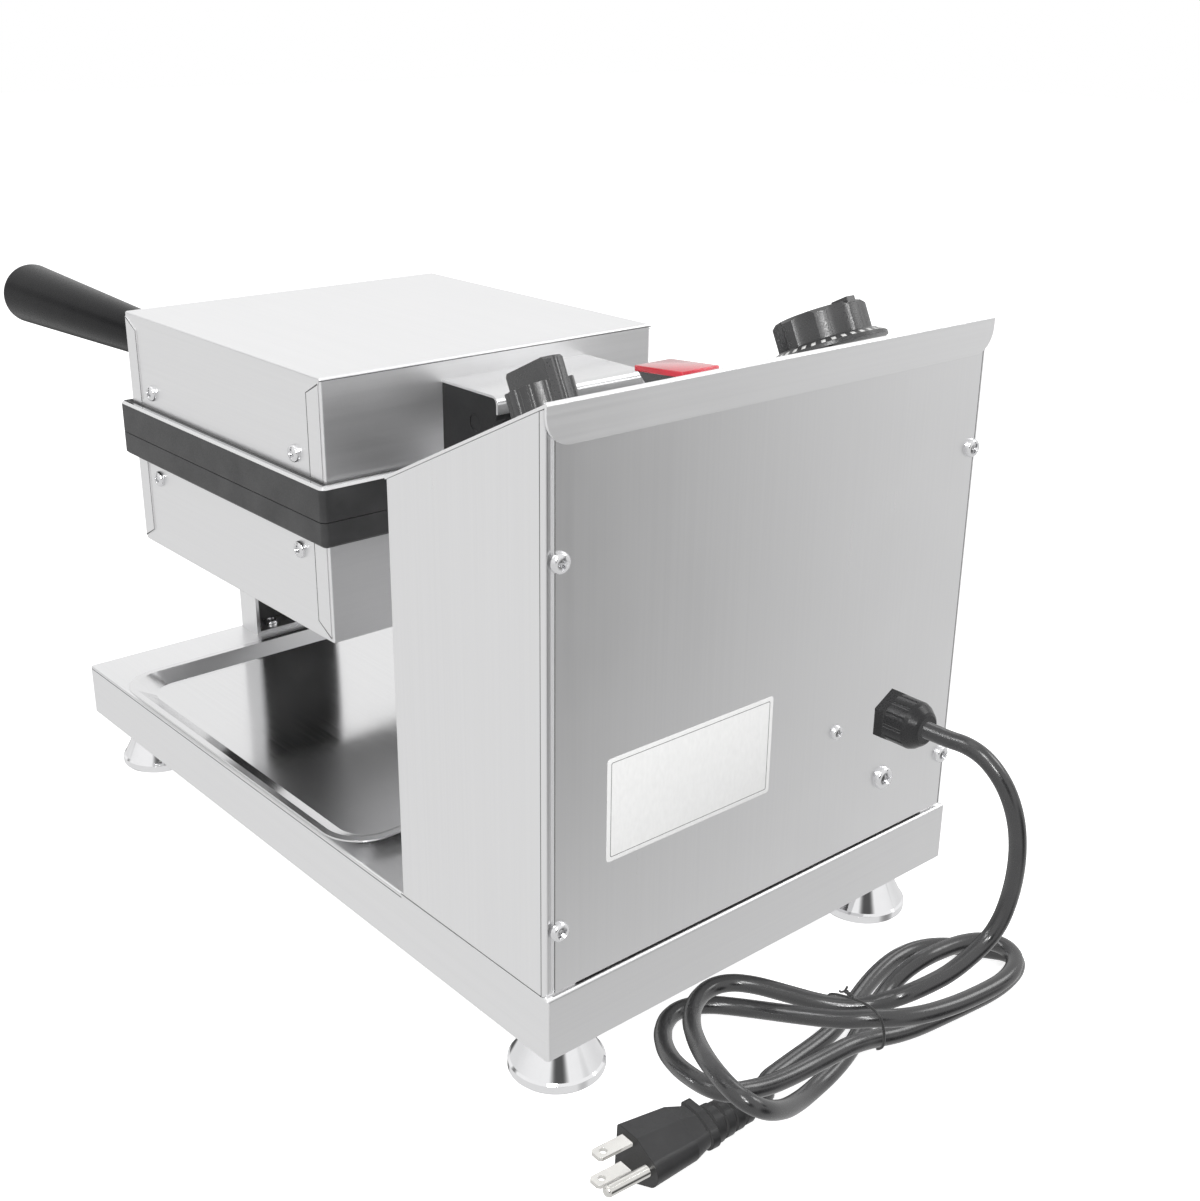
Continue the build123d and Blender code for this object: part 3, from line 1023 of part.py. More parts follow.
def front_pivot_bracket():
    """Plate in front of the lower half with a stand-off foot and the stub that turns in the bush."""
    half = BRACKET_WIDTH / 2
    bottom = AXIS_HEIGHT - BRACKET_DROP
    top = AXIS_HEIGHT + BRACKET_TOP_RISE
    bracket = block(-half, half, BRACKET_FRONT_Y, BRACKET_REAR_Y, bottom, top)
    bracket = fillet(bracket.edges().filter_by(Axis.Y), 6)
    bracket += block(6 - half, half - 6, BRACKET_REAR_Y, HEAD_FRONT_Y, bottom + 6, LOWER_COVER_TOP - 3)
    bracket += along_y(STUB_R, 0, AXIS_HEIGHT, POST_FRONT_Y - 0.5, BRACKET_FRONT_Y + 1)
    for x, z in bracket_screw_places():
        bracket -= along_y(CAP_SCREW[2], x, z, BRACKET_FRONT_Y - 1, HEAD_FRONT_Y + 1)
        bracket -= along_y(CAP_SCREW[0] + SHEET_GAP, x, z, BRACKET_FRONT_Y - 1, BRACKET_FRONT_Y + COUNTERBORE_DEPTH)
    return bracket


def handle_rod():
    """Steel rod that carries the grip, with its nut inside the cover."""
    inside = HEAD_FRONT_Y + COVER_SHEET
    rod = along_y(ROD_R, HANDLE_X, HANDLE_Z, HEAD_FRONT_Y - ROD_SHOWING - GRIP_HOLLOW, inside + 14)
    return rod


def handle_nut():
    """Nut and stiffening plate that clamp the rod to the cover's front face from inside."""
    inside = HEAD_FRONT_Y + COVER_SHEET
    plate = block(HANDLE_X - 20, HANDLE_X + 20, inside, inside + 3, HANDLE_Z - 7, HANDLE_Z + 14)
    nut = facing(HANDLE_X, inside + 3, HANDLE_Z, (0, 1, 0)) * hexagon(16, 8)
    return plate + nut - along_y(ROD_R, HANDLE_X, HANDLE_Z, inside - 1, inside + 20)


def handle_ferrule():
    """Turned steel collar between the cover and the grip."""
    y1 = HEAD_FRONT_Y
    y0 = HEAD_FRONT_Y - FERRULE_LENGTH
    collar = along_y(FERRULE_R, HANDLE_X, HANDLE_Z, y0, y1)
    collar = chamfer(collar.edges().group_by(Axis.Y)[0], 1.5)
    return collar - along_y(ROD_R, HANDLE_X, HANDLE_Z, y0 - 1, y1 + 1)


def handle_grip():
    """Moulded grip that swells to a rounded end, bored for the rod."""
    start = HEAD_FRONT_Y - ROD_SHOWING
    length = GRIP_LENGTH
    end_r = GRIP_END_R
    turn = GRIP_END_ROUND
    shoulder = length - turn
    outline = Polyline((0, 0), (GRIP_NECK_R - 1.5, 0), (GRIP_NECK_R, 1.5), (end_r, shoulder))
    tip = ThreePointArc((end_r, shoulder), (end_r - turn * 0.28, length - turn * 0.24), (end_r - turn, length))
    close = Polyline((end_r - turn, length), (0, length), (0, 0))
    grip = revolve(Plane.XZ * make_face(outline + tip + close), axis=Axis.Z)
    grip = facing(HANDLE_X, start, HANDLE_Z, (0, -1, 0)) * grip
    return grip - along_y(ROD_R, HANDLE_X, HANDLE_Z, start - GRIP_HOLLOW, start + 1)


def latch_pivot():
    """Shouldered screw that the hook swings on."""
    y = LATCH_REAR_Y
    pivot = along_y(SMALL_SCREW[2], LATCH_X, LATCH_PIVOT_Z, y, HEAD_FRONT_Y + COVER_SHEET + COVER_FIT + RIM_WALL - 2)
    pivot += along_y(LATCH_HEAD_R, LATCH_X, LATCH_PIVOT_Z, y + MOVING_GAP, HEAD_FRONT_Y)
    pivot += along_y(LATCH_PEG_R, LATCH_X, LATCH_PIVOT_Z, y - LATCH_PLATE - MOVING_GAP, y + MOVING_GAP)
    pivot += along_y(LATCH_HEAD_R, LATCH_X, LATCH_PIVOT_Z,
                     y - LATCH_PLATE - MOVING_GAP - LATCH_HEAD, y - LATCH_PLATE - MOVING_GAP)
    return pivot


def latch_peg():
    """Headed peg on the lower half that the hook catches."""
    y = LATCH_REAR_Y
    peg = along_y(SMALL_SCREW[2], LATCH_X, LATCH_PEG_Z, y, HEAD_FRONT_Y + COVER_SHEET + COVER_FIT + RIM_WALL - 2)
    peg += along_y(LATCH_HEAD_R, LATCH_X, LATCH_PEG_Z, y + MOVING_GAP, HEAD_FRONT_Y)
    peg += along_y(LATCH_PEG_R, LATCH_X, LATCH_PEG_Z, y - LATCH_PLATE - MOVING_GAP, y + MOVING_GAP)
    peg += along_y(LATCH_HEAD_R, LATCH_X, LATCH_PEG_Z,
                   y - LATCH_PLATE - MOVING_GAP - LATCH_HEAD, y - LATCH_PLATE - MOVING_GAP)
    return peg


def latch_hook():
    """Flat hook on the upper half, swung clear of its peg."""
    y0 = LATCH_REAR_Y - LATCH_PLATE
    y1 = LATCH_REAR_Y
    half = LATCH_ARM / 2
    reach = LATCH_LENGTH
    slot = LATCH_PEG_R + MOVING_GAP
    arm = [(-half, 0), (half, 0), (half, -reach + 2 * half), (-slot, -reach + 2 * half),
           (-slot, -reach - slot), (half + 3, -reach - slot), (half + 1, -reach - slot - 7),
           (-slot - 5, -reach - slot - 7), (-slot - 7, -reach), (-half, -reach + 3 * half)]
    hook = front_profile(arm, y0, y1) + along_y(half + 1, 0, 0, y0, y1)
    hook += front_profile([(half, -14), (half + 12, -10), (half + 12, -3), (half, 1)], y0, y1)
    hook -= along_y(LATCH_PEG_R + RUNNING_FIT, 0, 0, y0 - 1, y1 + 1)
    return Pos(LATCH_X, 0, LATCH_PIVOT_Z) * Rot(0, LATCH_OPEN_ANGLE, 0) * hook


def plug_section(x, factor):
    """Plug outline across its axis: flat beside the blades, round about the earth pin."""
    half = PLUG_HEIGHT / 2
    earth = EARTH_PIN_OFFSET / 2
    side = -PLUG_FLAT_SIDE
    meet = math.radians(62)
    tip = (earth + PLUG_EARTH_R * math.cos(meet), PLUG_EARTH_R * math.sin(meet))
    lower_tip = (tip[0], -tip[1])
    wall = Polyline(lower_tip, (-PLUG_SHOULDER, -half), (side, -half), (side, half), (-PLUG_SHOULDER, half), tip)
    nose = ThreePointArc(tip, (earth + PLUG_EARTH_R, 0), lower_tip)
    outline = make_face(wall + nose)
    outline = fillet([v for v in outline.vertices() if v.X < 0], PLUG_CORNER_R)
    return Plane(origin=(x, 0, 0), x_dir=(0, 1, 0), z_dir=(1, 0, 0)) * scale(outline, factor)


def plug_body():
    """Moulded plug: a tapered grip, a collar and a ribbed strain relief."""
    relief = PLUG_RELIEF_LENGTH
    places = ((relief, 0.66), (relief + PLUG_BODY_LENGTH * 0.3, 0.88), (relief + PLUG_BODY_LENGTH, 1.0))
    body = loft([plug_section(x, factor) for x, factor in places], ruled=True)
    body += extrude(plug_section(relief - PLUG_COLLAR, 0.8), amount=PLUG_COLLAR + 1)
    body += Pos(relief / 2 + 0.5, 0, 0) * Rot(0, 90, 0) * Cone(CORD_R + 1.2, CORD_R + 2.6, relief + 1)
    ribs = 4
    for i in range(ribs):
        place = (i + 0.5) * (relief - PLUG_COLLAR) / ribs
        radius = CORD_R + 2.6 + i * 0.5
        body += Pos(place, 0, 0) * Rot(0, 90, 0) * Cylinder(radius, 3.8)
    return PLUG * body


def plug_blades():
    """Two flat blades, one above the other as the plug lies."""
    x = PLUG_RELIEF_LENGTH + PLUG_BODY_LENGTH
    y = -EARTH_PIN_OFFSET / 2
    blades = []
    for i in (-1, 1):
        z = i * BLADE_SPACING / 2
        blade = Pos(x + BLADE_LENGTH / 2, y, z) * Box(BLADE_LENGTH, BLADE_WIDTH, BLADE_THICKNESS)
        blade = chamfer(blade.edges().filter_by(Axis.Z).group_by(Axis.X)[-1], 1.2)
        blades.append(PLUG * (blade - Pos(x + BLADE_LENGTH - 4, y, z) * Cylinder(1.55, 2 * BLADE_THICKNESS)))
    return blades


def plug_earth_pin():
    """Round earth pin with a domed tip."""
    x = PLUG_RELIEF_LENGTH + PLUG_BODY_LENGTH
    pin = along_x(EARTH_PIN_R, EARTH_PIN_OFFSET / 2, 0, x, x + EARTH_PIN_LENGTH)
    return PLUG * fillet(pin.edges().group_by(Axis.X)[-1], EARTH_PIN_R * 0.8)


def cord_route():
    """All points of the cord's middle line, from the gland's mouth to the plug."""
    exit_y = BASE_REAR_Y + GLAND_REACH
    start = [(GLAND_X, exit_y, GLAND_Z), (GLAND_X, exit_y + CORD_STRAIGHT, GLAND_Z)]
    middle = [(x, BASE_MIDDLE_Y + behind, z) for x, behind, z in FREE_ROUTE + HANK_ROUTE]
    turn = PLUG_START - PLUG_AXIS * (CORD_STRAIGHT - 1)
    return [Vector(*point) for point in start + middle] + [turn, PLUG_START]


def cord_radii(route):
    """An arc for each inner point, as large as the shorter of its two runs allows."""
    radii = []
    for before, here, after in zip(route, route[1:], route[2:]):
        arrive = here - before
        leave = after - here
        turn = math.radians(arrive.get_angle(leave))
        radii.append(CORD_ARC_SHARE * min(arrive.length, leave.length) / math.tan(turn / 2))
    return radii


def cord_tube(points, radii, name):
    """A round tube along straight runs joined by arcs."""
    path = FilletPolyline(*points, radius=radii)
    start = Plane(origin=points[0], z_dir=points[1] - points[0])
    tube = sweep(start * Circle(CORD_R), path=path)
    expected = math.pi * CORD_R ** 2 * path.length
    print(name, "length", round(path.length, 1), "volume over section times length", round(tube.volume / expected, 4))
    return tube, path


def least_gap(path, step=1.5, apart=24.0):
    """The least gap between stretches of the cord that are further apart along it than a few diameters."""
    count = int(path.length / step)
    points = [path.position_at(i / count) for i in range(count + 1)]
    skip = int(apart / step)
    nearest = min((points[i] - points[j]).length for i in range(count + 1) for j in range(i + skip, count + 1))
    return nearest - 2 * CORD_R


def cord_pieces():
    """The free stretch, and the hank from the middle of the straight run where they meet."""
    route = cord_route()
    radii = cord_radii(route)
    last = len(FREE_ROUTE) + 1
    meet = route[last] + (route[last + 1] - route[last]) * 0.26
    free, _ = cord_tube(route[:last + 1] + [meet], radii[:last], "power_cord")
    hank, path = cord_tube([meet] + route[last + 1:], radii[last:], "cord_hank")
    print("cord radii", [round(r) for r in radii])
    print("cord_hank least gap to itself", round(least_gap(path), 2))
    return free, hank


def nodes():
    """Every piece under its name."""
    free, hank = cord_pieces()
    made = {
        "power_cord": free,
        "cord_hank": hank,
        "base_frame": base_frame(),
        "foot_nuts": foot_nuts(),
        "control_box_shell": control_box_shell(),
        "control_panel": control_panel(),
        "rear_panel": rear_panel(),
        "rear_panel_screws": screws_at(rear_screw_places(), PAN_SCREW, REAR_SCREW_SHANK, "rear", REAR_PANEL_Y),
        "base_screws": base_screws(),
        "bonding_screw": screws_at([(BONDING_X, BASE_TOP + BONDING_UP)], BONDING_SCREW, 12, "rear", REAR_PANEL_Y),
        "terminal_screw": screws_at([(TERMINAL_X, BASE_TOP + TERMINAL_UP)], SMALL_SCREW, 11, "rear", REAR_PANEL_Y),
        "terminal_block": terminal_block(),
        "gland_body": gland_body(),
        "gland_nut": gland_nut(),
        "gland_locknut": gland_locknut(),
        "timer_body": timer_body(),
        "thermostat_body": thermostat_body(),
        "switch_housing": switch_housing(),
        "bearing_housing": bearing_housing(),
        "bearing_bolts": screws_at(bearing_bolt_places(), CAP_SCREW, BEARING_FLANGE + 4, "front", BEARING_FRONT_Y),
        "stop_pins": stop_pins(),
        "front_post": front_post(),
        "front_bush": front_bush(),
        "drip_tray": drip_tray(),
        "lower_plate": lower_plate(),
        "lower_cover": lower_cover(),
        "lower_cover_screws": cover_screws(LOWER_COVER_TOP, -1),
        "lower_heating_element": heating_element(LOWER_COVER_TOP, -1),
        "temperature_probe": temperature_probe(),
        "yoke": yoke(),
        "pivot_bolts": pivot_bolts(),
        "rear_shaft": rear_shaft(),
        "stop_collar": stop_collar(),
        "front_pivot_bracket": front_pivot_bracket(),
        "latch_peg": latch_peg(),
        "hinge_pin": hinge_pin(),
        "upper_plate": upper_plate(),
        "upper_cover": upper_cover(),
        "upper_cover_screws": cover_screws(UPPER_COVER_BOTTOM, 1),
        "upper_heating_element": heating_element(UPPER_COVER_BOTTOM, 1),
        "hinge_bracket": hinge_bracket(),
        "hinge_cover": hinge_cover(),
        "hinge_screws": screws_at(hinge_screw_places(), SMALL_SCREW, 8, "rear", HEAD_REAR_Y + HINGE_BACK),
        "handle_rod": handle_rod(),
        "handle_nut": handle_nut(),
        "handle_ferrule": handle_ferrule(),
        "handle_grip": handle_grip(),
        "latch_pivot": latch_pivot(),
        "latch_hook": latch_hook(),
        "timer_knob": timer_knob(),
        "thermostat_knob": thermostat_knob(),
        "thermostat_dial": thermostat_dial(),
        "rocker": rocker(),
        "plug_body": plug_body(),
        "plug_blades": plug_blades(),
        "plug_earth_pin": plug_earth_pin(),
    }
    for name, x, y in foot_places():
        made["foot_" + name] = foot(x, y)
    return made


def write(made):
    """One STEP file for each node."""
    os.makedirs("parts", exist_ok=True)
    for name, shape in made.items():
        solids = shape if isinstance(shape, list) else [shape]
        flat = [s for item in solids for s in item.solids()]
        export_step(flat[0] if len(flat) == 1 else Compound(flat), f"parts/{name}.step")


write(nodes())
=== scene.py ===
import json
import math

import bmesh
import bpy
from mathutils import Matrix, Vector


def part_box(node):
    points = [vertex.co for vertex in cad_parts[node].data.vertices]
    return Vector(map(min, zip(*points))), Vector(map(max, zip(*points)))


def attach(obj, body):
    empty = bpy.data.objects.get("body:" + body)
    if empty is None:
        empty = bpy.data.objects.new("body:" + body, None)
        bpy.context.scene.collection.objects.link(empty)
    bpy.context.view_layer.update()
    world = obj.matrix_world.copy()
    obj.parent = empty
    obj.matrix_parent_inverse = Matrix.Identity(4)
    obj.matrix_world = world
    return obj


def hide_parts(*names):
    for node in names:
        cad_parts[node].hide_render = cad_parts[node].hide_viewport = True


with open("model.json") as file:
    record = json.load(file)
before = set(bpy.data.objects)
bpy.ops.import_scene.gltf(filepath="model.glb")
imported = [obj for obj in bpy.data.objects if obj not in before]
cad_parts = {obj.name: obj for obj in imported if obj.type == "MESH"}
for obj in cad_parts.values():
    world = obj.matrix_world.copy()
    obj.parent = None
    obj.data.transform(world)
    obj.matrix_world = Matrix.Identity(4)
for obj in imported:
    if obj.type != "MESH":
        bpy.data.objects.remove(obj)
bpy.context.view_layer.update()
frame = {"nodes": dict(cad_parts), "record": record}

MM = 0.001
MICRON = 0.000001

# Camera, solved from the straight edges of the housing
IMAGE_WIDTH = 1200.0
FOCAL_PIXELS = 1557.6
SENSOR = 36.0
CAMERA_AT = Vector((445.6, 683.6, 426.8)) * MM
CAMERA_YAW = math.radians(41.05)
CAMERA_PITCH = math.radians(21.42)
CAMERA_ROLL = math.radians(0.68)

# The cord: its points in millimetres as x, distance behind the base's middle, and height
BASE_MIDDLE_Y = 76.0
CORD_R = 4.0
GLAND_MOUTH = (-77.0, 231.0, 120.4)
CORD_STRAIGHT = 12.0
PLUG_START = (63.3, 262.2, 7.8)
PLUG_YAW = math.radians(-2.0)
PLUG_TILT = math.radians(2.6)
FREE_ROUTE = [
    (-77.6, 251.5, 121.0), (-78.5, 260.2, 118.8), (-79.5, 267.8, 113.2), (-80.6, 273.9, 105.2),
    (-81.8, 278.4, 94.0), (-83.0, 280.2, 81.2), (-84.2, 279.9, 67.2), (-84.2, 278.4, 53.2),
    (-80.2, 277.6, 41.8), (-74.0, 275.4, 32.5)]
HANK_ROUTE = [
    (-54.6, 272.9, 24.6), (-38.5, 270.0, 22.6), (-27.4, 266.1, 20.5), (-22.0, 258.0, 15.0),
    (-13.3, 250.6, 13.2), (-5.8, 241.2, 13.2), (0.4, 227.1, 13.2), (6.7, 213.0, 13.3),
    (14.3, 203.8, 13.4), (24.9, 201.0, 13.6), (37.5, 205.0, 13.8), (49.5, 215.1, 15.5),
    (60.2, 229.1, 19.0), (72.6, 247.5, 26.4), (80.8, 264.1, 31.0), (83.2, 277.1, 31.0),
    (77.7, 283.3, 26.5), (62.1, 280.3, 16.0), (44.6, 274.1, 7.5), (31.1, 270.2, 4.4),
    (18.2, 268.0, 4.2), (2.6, 263.8, 4.2), (-13.3, 257.3, 4.2), (-30.0, 250.7, 4.2),
    (-44.7, 246.1, 5.5), (-56.0, 245.9, 9.5), (-66.5, 248.1, 13.2), (-80.1, 249.3, 13.2),
    (-92.2, 251.9, 13.2), (-101.3, 257.0, 13.2), (-104.8, 265.5, 13.2), (-101.6, 274.3, 13.2),
    (-92.3, 280.2, 13.2), (-80.2, 282.5, 13.2), (-66.1, 281.9, 13.4), (-48.8, 280.5, 14.4),
    (-31.6, 277.7, 16.0), (-18.7, 272.8, 17.2), (-8.9, 265.7, 17.8), (-2.2, 257.4, 15.4),
    (2.7, 246.9, 13.0), (7.4, 234.2, 10.0), (10.6, 219.8, 5.5), (16.5, 209.2, 4.2),
    (23.9, 200.8, 4.2), (32.9, 195.4, 4.2), (43.1, 195.3, 4.2), (53.5, 201.7, 4.4),
    (63.4, 214.2, 7.0), (71.0, 228.8, 11.5), (76.0, 243.3, 16.5), (78.6, 255.6, 20.4),
    (76.1, 263.3, 21.2), (67.6, 266.1, 19.8), (56.5, 267.0, 17.0), (44.0, 266.8, 14.6),
    (30.8, 266.6, 13.2), (18.3, 267.3, 13.0), (5.4, 268.0, 12.7), (-8.8, 268.4, 9.1),
    (-19.8, 270.5, 6.8), (-33.3, 272.0, 4.9), (-47.3, 273.2, 4.2), (-63.7, 275.2, 4.2),
    (-81.0, 277.0, 4.2), (-96.8, 276.1, 4.2), (-109.7, 271.7, 4.2), (-113.2, 263.7, 4.2),
    (-107.9, 255.8, 4.2), (-100.7, 246.6, 4.2), (-92.7, 238.0, 4.2), (-81.7, 232.7, 4.2),
    (-69.0, 231.5, 4.2), (-54.8, 233.5, 4.2), (-41.2, 237.0, 4.2), (-27.7, 241.6, 4.2),
    (-15.3, 245.9, 4.2), (-2.6, 249.7, 4.2), (10.5, 251.2, 4.2), (21.9, 251.9, 4.2),
    (33.0, 252.8, 4.2), (43.2, 253.9, 4.4), (48.6, 258.6, 5.4)]

# The wire tie round the waist of the hank, and its two ends, twisted together and flared at the tip
TIE_R = 0.62
TIE_END = 0.8
TIE_TURNS = 2
TIE_STEPS = 16
TIE_DEPTH = 0.5
TIE_HEIGHT = 0.8
TIE_FLARE_FROM = 0.75
TIE_FLARE = 7.0
TIE_OVER = [
    (-9.6, 243.6, 1.5), (-9.4, 242.6, 4.6), (-9.1, 241.0, 8.6), (-8.9, 240.4, 12.6), (-8.7, 242.0, 17.4),
    (-8.5, 246.2, 19.6), (-8.3, 251.6, 21.4), (-8.3, 256.4, 22.6), (-8.4, 261.2, 23.6), (-8.6, 266.0, 23.4),
    (-8.8, 270.6, 21.4), (-8.9, 272.8, 16.6), (-9.0, 273.6, 11.0), (-9.3, 272.8, 6.0), (-9.9, 269.6, 3.7)]
TIE_TWIST_FROM = (-8.4, 255.8, 23.0)
TIE_TWIST_TO = (-6.4, 251.6, 26.2)

# The blank label on the rear panel, and the ruled line inside its edge
LABEL_X = (2.5, 94.4)
LABEL_Z = (108.0, 153.3)
LABEL_THICK = 0.12
LABEL_CORNER = 1.6
LABEL_CORNER_LESS = 0.4
LABEL_EDGE = 0.6
LABEL_EDGE_IN = 0.1
LABEL_RULE_INSET = 1.9
LABEL_RULE = 0.3
LABEL_RULE_ROOT = 0.8
LABEL_RULE_PROUD = 0.03

# Screw heads by radius: head height, shank radius and kind of recess
SCREW_KINDS = {
    4.2: (2.7, 2.0, "cross"), 3.4: (2.2, 1.5, "cross"), 5.6: (3.2, 2.5, "cross"), 4.4: (3.4, 2.5, "hex")}
SCREW_SEGMENTS = 36
HEAD_BEVEL = 0.5
TIP_IN = 0.4
TIP_BEVEL = 0.5

# Heads and recesses, with levels in shares of the head's height and the rest in shares of its radius: the
# points of a dome, the level, reach and half width of a cross, and a hexagon's two radii and middle level
DOME = [(1.0, 0.3), (0.95, 0.55), (0.84, 0.76), (0.66, 0.9), (0.4, 0.97)]
CROSS_LEVELS = [(0.35, 0.34, 0.13), (1.4, 0.78, 0.19)]
HEX_FOOT = 0.46
HEX_MOUTH = 0.5
HEX_LEVEL = 0.95

# The metal of each node of screws, the height that tells up from down, and how far each screw is turned
SCREW_NODES = {
    "rear_panel_screws": "zinc", "base_screws": "zinc", "bonding_screw": "zinc", "terminal_screw": "zinc",
    "lower_cover_screws": "zinc", "upper_cover_screws": "zinc", "hinge_screws": "zinc",
    "pivot_bolts": "steel", "bearing_bolts": "steel"}
SCREW_MIDDLE_Z = 160.0
SCREW_FIRST_TURN = 0.35
SCREW_TURN = 0.9

# The sloping control panel and the marks on the dial's edge
PANEL_FRONT = Vector((0, 185.5, 248.0)) * MM
PANEL_RISE = 49.5
PANEL_DEPTH = 101.5
DIAL_X = -65.0
DIAL_UP = 69.0
DIAL_R = 26.5
DIAL_LIFT = 4.6
DIAL_HEIGHT = 4.0
DIAL_RIM = 1.6
DIAL_SLOPE_IN = 4.0
DIAL_MARKS = 36
MARK_HALF_WIDTH = 0.95
MARK_FROM = 0.5
MARK_TO = 2.9
MARK_LEVELS = (-0.05, 0.08)

# The faces of a box by its eight corners: two levels, two ends of each, two sides of each
BOX_FACES = ((0, 1, 3, 2), (4, 6, 7, 5), (0, 4, 5, 1), (2, 3, 7, 6), (0, 2, 6, 4), (1, 5, 7, 3))

# The rocker, measured from its pin: along the panel's slope, then out of the panel
SWITCH_X = 16.0
SWITCH_UP = 63.0
SWITCH_PIN = 2.4
CAP_WIDTH = 20.4
CAP_THICK = 2.5
CAP_FRONT = Vector((-14.7, 15.1))
CAP_REAR = Vector((12.0, 4.6))
CAP_ROUND = 0.55
SKIRT_WIDTH = 18.7
SKIRT_ROUND = 0.4
SKIRT_OUTLINE = [
    (-14.8, 12.6), (-11.4, 4.6), (-12.2, 0.0), (-7.0, -5.0),
    (6.0, -7.0), (11.2, -4.6), (12.2, 0.0), (11.4, 2.2)]

# The polished sheet over the lid hinge
HINGE_SHEET = 1.2
HINGE_BEND = 3.9
HINGE_BEND_STEPS = 9
HINGE_DROP = 8.4

# The bare bright edge of the upper plate, round its ledge and chamfer
PLATE_CORNER = 3.0
PLATE_CHAMFER = 1.2
TRIM_INSET = 3.0
TRIM_THICK = 0.15
TRIM_SKIN = 0.7
TRIM_LEAST_CORNER = 0.3

# The painted shadow lines in the folds and gaps of the sheets: their width, how far they stand out, and the
# bends that they run along
SEAM = 0.42
SEAM_SLANT = 0.6
SEAM_PROUD = 0.04
TAB_WIDTH = 12.0
TAB_BEND = 1.2
BOX_CORNER = 1.6
BOX_CORNER_IN = 0.1
BASE_BEND = 1.5

# What gloss sees darker in the studio, each a round patch: its direction, the angles where it begins and is
# full, its level, and the form of its edge where that isn't a soft one
DARK_PATCHES = [
    ((-0.404, 0.867, -0.292), 26, 5, 0.08, "LINEAR"),
    ((0.518, 0.797, 0.309), 24, 6, 0.10),
    ((-0.468, -0.749, -0.469), 30, 12, 0.12),
    ((0.57, -0.78, 0.25), 13, 6, 0.15),
    ((-0.75, 0.62, 0.22), 10, 4, 0.20)]

# The studio: brightness by height as gloss sees it, and plain light for the rest
SKY_HEIGHT = (-0.15, 0.25)
SKY_LEVEL = (0.82, 1.0)
PLAIN_LIGHT = 0.65

# The floor
FLOOR_REACH = 6.0
FLOOR_DROP = 0.0004
FLOOR_SHADE = 0.8
FLOOR_GLOW = 0.8

# Soft square lamps that look at one point: place, size in metres and power in watts
LAMP_TARGET = Vector((0, 0.08, 0.15))
LAMPS = {
    "key": ((1.1, 1.0, 1.7), 0.5, 8.0),
    "fill": ((-1.3, 0.9, 1.2), 0.7, 5.0),
    "top": ((0.0, -0.4, 1.9), 1.6, 4.0),
    "glint": ((0.95, 1.26, 0.97), 0.2, 5.0)}

# Small dark pieces that the steel beside them doesn't mirror in the studio light
NOT_MIRRORED = (
    "mains_cord", "cord_tie", "cord_tie_end_a", "cord_tie_end_b", "plug_body", "timer_knob", "rocker_cap",
    "rocker_skirt", "hinge_bracket", "yoke", "gland_body", "gland_nut")

# A dark sheet in the channel of the front post, painted shade that stands for the shade inside it
POST_SHEET = 2.0
SHADE_SHEET = 0.8
SHADE_SHEET_GAP = 0.2
SHADE_SHEET_TOP = 184.0

# The noise of the surfaces: the band of it that counts, its scales per metre, the heights of its relief in
# millimetres, and how far it carries the roughness
NOISE_BAND = (0.3, 0.7)
GRAIN_ACROSS = 700.0
GRAIN_ALONG = 7.0
GRAIN_SHADE = 0.012
GRAIN_ROUGH = 0.02
GRAIN_TURNS_AT = 0.6
WAVE_SCALE = 9.0
WAVE_HEIGHT = 0.08
SMEAR_SCALE = 30.0
SMEAR_ROUGH = (-0.01, 0.02)
METAL_EDGE = 0.2
PLATING_SCALE = 120.0
PIT_SCALE = 900.0
PIT_HEIGHT = 0.002
MOULD_SCALE = 60.0
SKIN_ROUGH = (-0.06, 0.08)
SWELL_SCALE = 90.0
SWELL_HEIGHT = 0.02
LENS_ROUGH = (0.05, 0.12)
LENS_EDGE = 0.4
FIBRE_SCALE = 700.0
FIBRE_STRETCH = (1, 1, 0.4)
FIBRE_ROUGH = (0.42, 0.52)
FIBRE_HEIGHT = 0.004

# The least angle that stays sharp, and how finely edges and cords are rounded
SHARP_FROM = 35.0
BEVEL_SEGMENTS = 3
CORNER_STEPS = 5
CORD_ORDER = 3
CORD_STEPS = 8


def adder(tree):
    """A helper that adds a node to a tree, and sets its inputs and its own values by name."""

    def add(kind, **values):
        node = tree.nodes.new(kind)
        for key, value in values.items():
            if key in node.inputs:
                node.inputs[key].default_value = value
            else:
                setattr(node, key, value)
        return node

    return add


def node_tree(name):
    """A new material with its shader, and a helper that adds nodes to it."""
    material = bpy.data.materials.new(name)
    material.use_nodes = True
    tree = material.node_tree
    return material, tree, tree.nodes["Principled BSDF"], adder(tree)


def noise(tree, add, scale, detail, stretch=(1, 1, 1)):
    """Noise in the piece's own metres, stretched along an axis."""
    coords = add("ShaderNodeTexCoord")
    mapping = add("ShaderNodeMapping", Scale=stretch)
    texture = add("ShaderNodeTexNoise", Scale=scale, Detail=detail)
    tree.links.new(coords.outputs["Object"], mapping.inputs["Vector"])
    tree.links.new(mapping.outputs["Vector"], texture.inputs["Vector"])
    return texture.outputs["Fac"]


def map_range(tree, add, source, start, end, low, high, shape="LINEAR"):
    """A value carried from one range to another, and held at its ends."""
    node = add("ShaderNodeMapRange", interpolation_type=shape)
    for key, value in (("From Min", start), ("From Max", end), ("To Min", low), ("To Max", high)):
        node.inputs[key].default_value = value
    tree.links.new(source, node.inputs["Value"])
    return node.outputs["Result"]


def spread(tree, add, source, low, high):
    """A value that follows a noise between two limits."""
    return map_range(tree, add, source, *NOISE_BAND, low, high)


def shades(tree, add, source, dark, light):
    """A colour that follows a noise between two colours."""
    ramp = add("ShaderNodeValToRGB")
    for stop, position, colour in zip(ramp.color_ramp.elements, NOISE_BAND, (dark, light)):
        stop.position = position
        stop.color = (*colour, 1)
    tree.links.new(source, ramp.inputs["Fac"])
    return ramp.outputs["Color"]


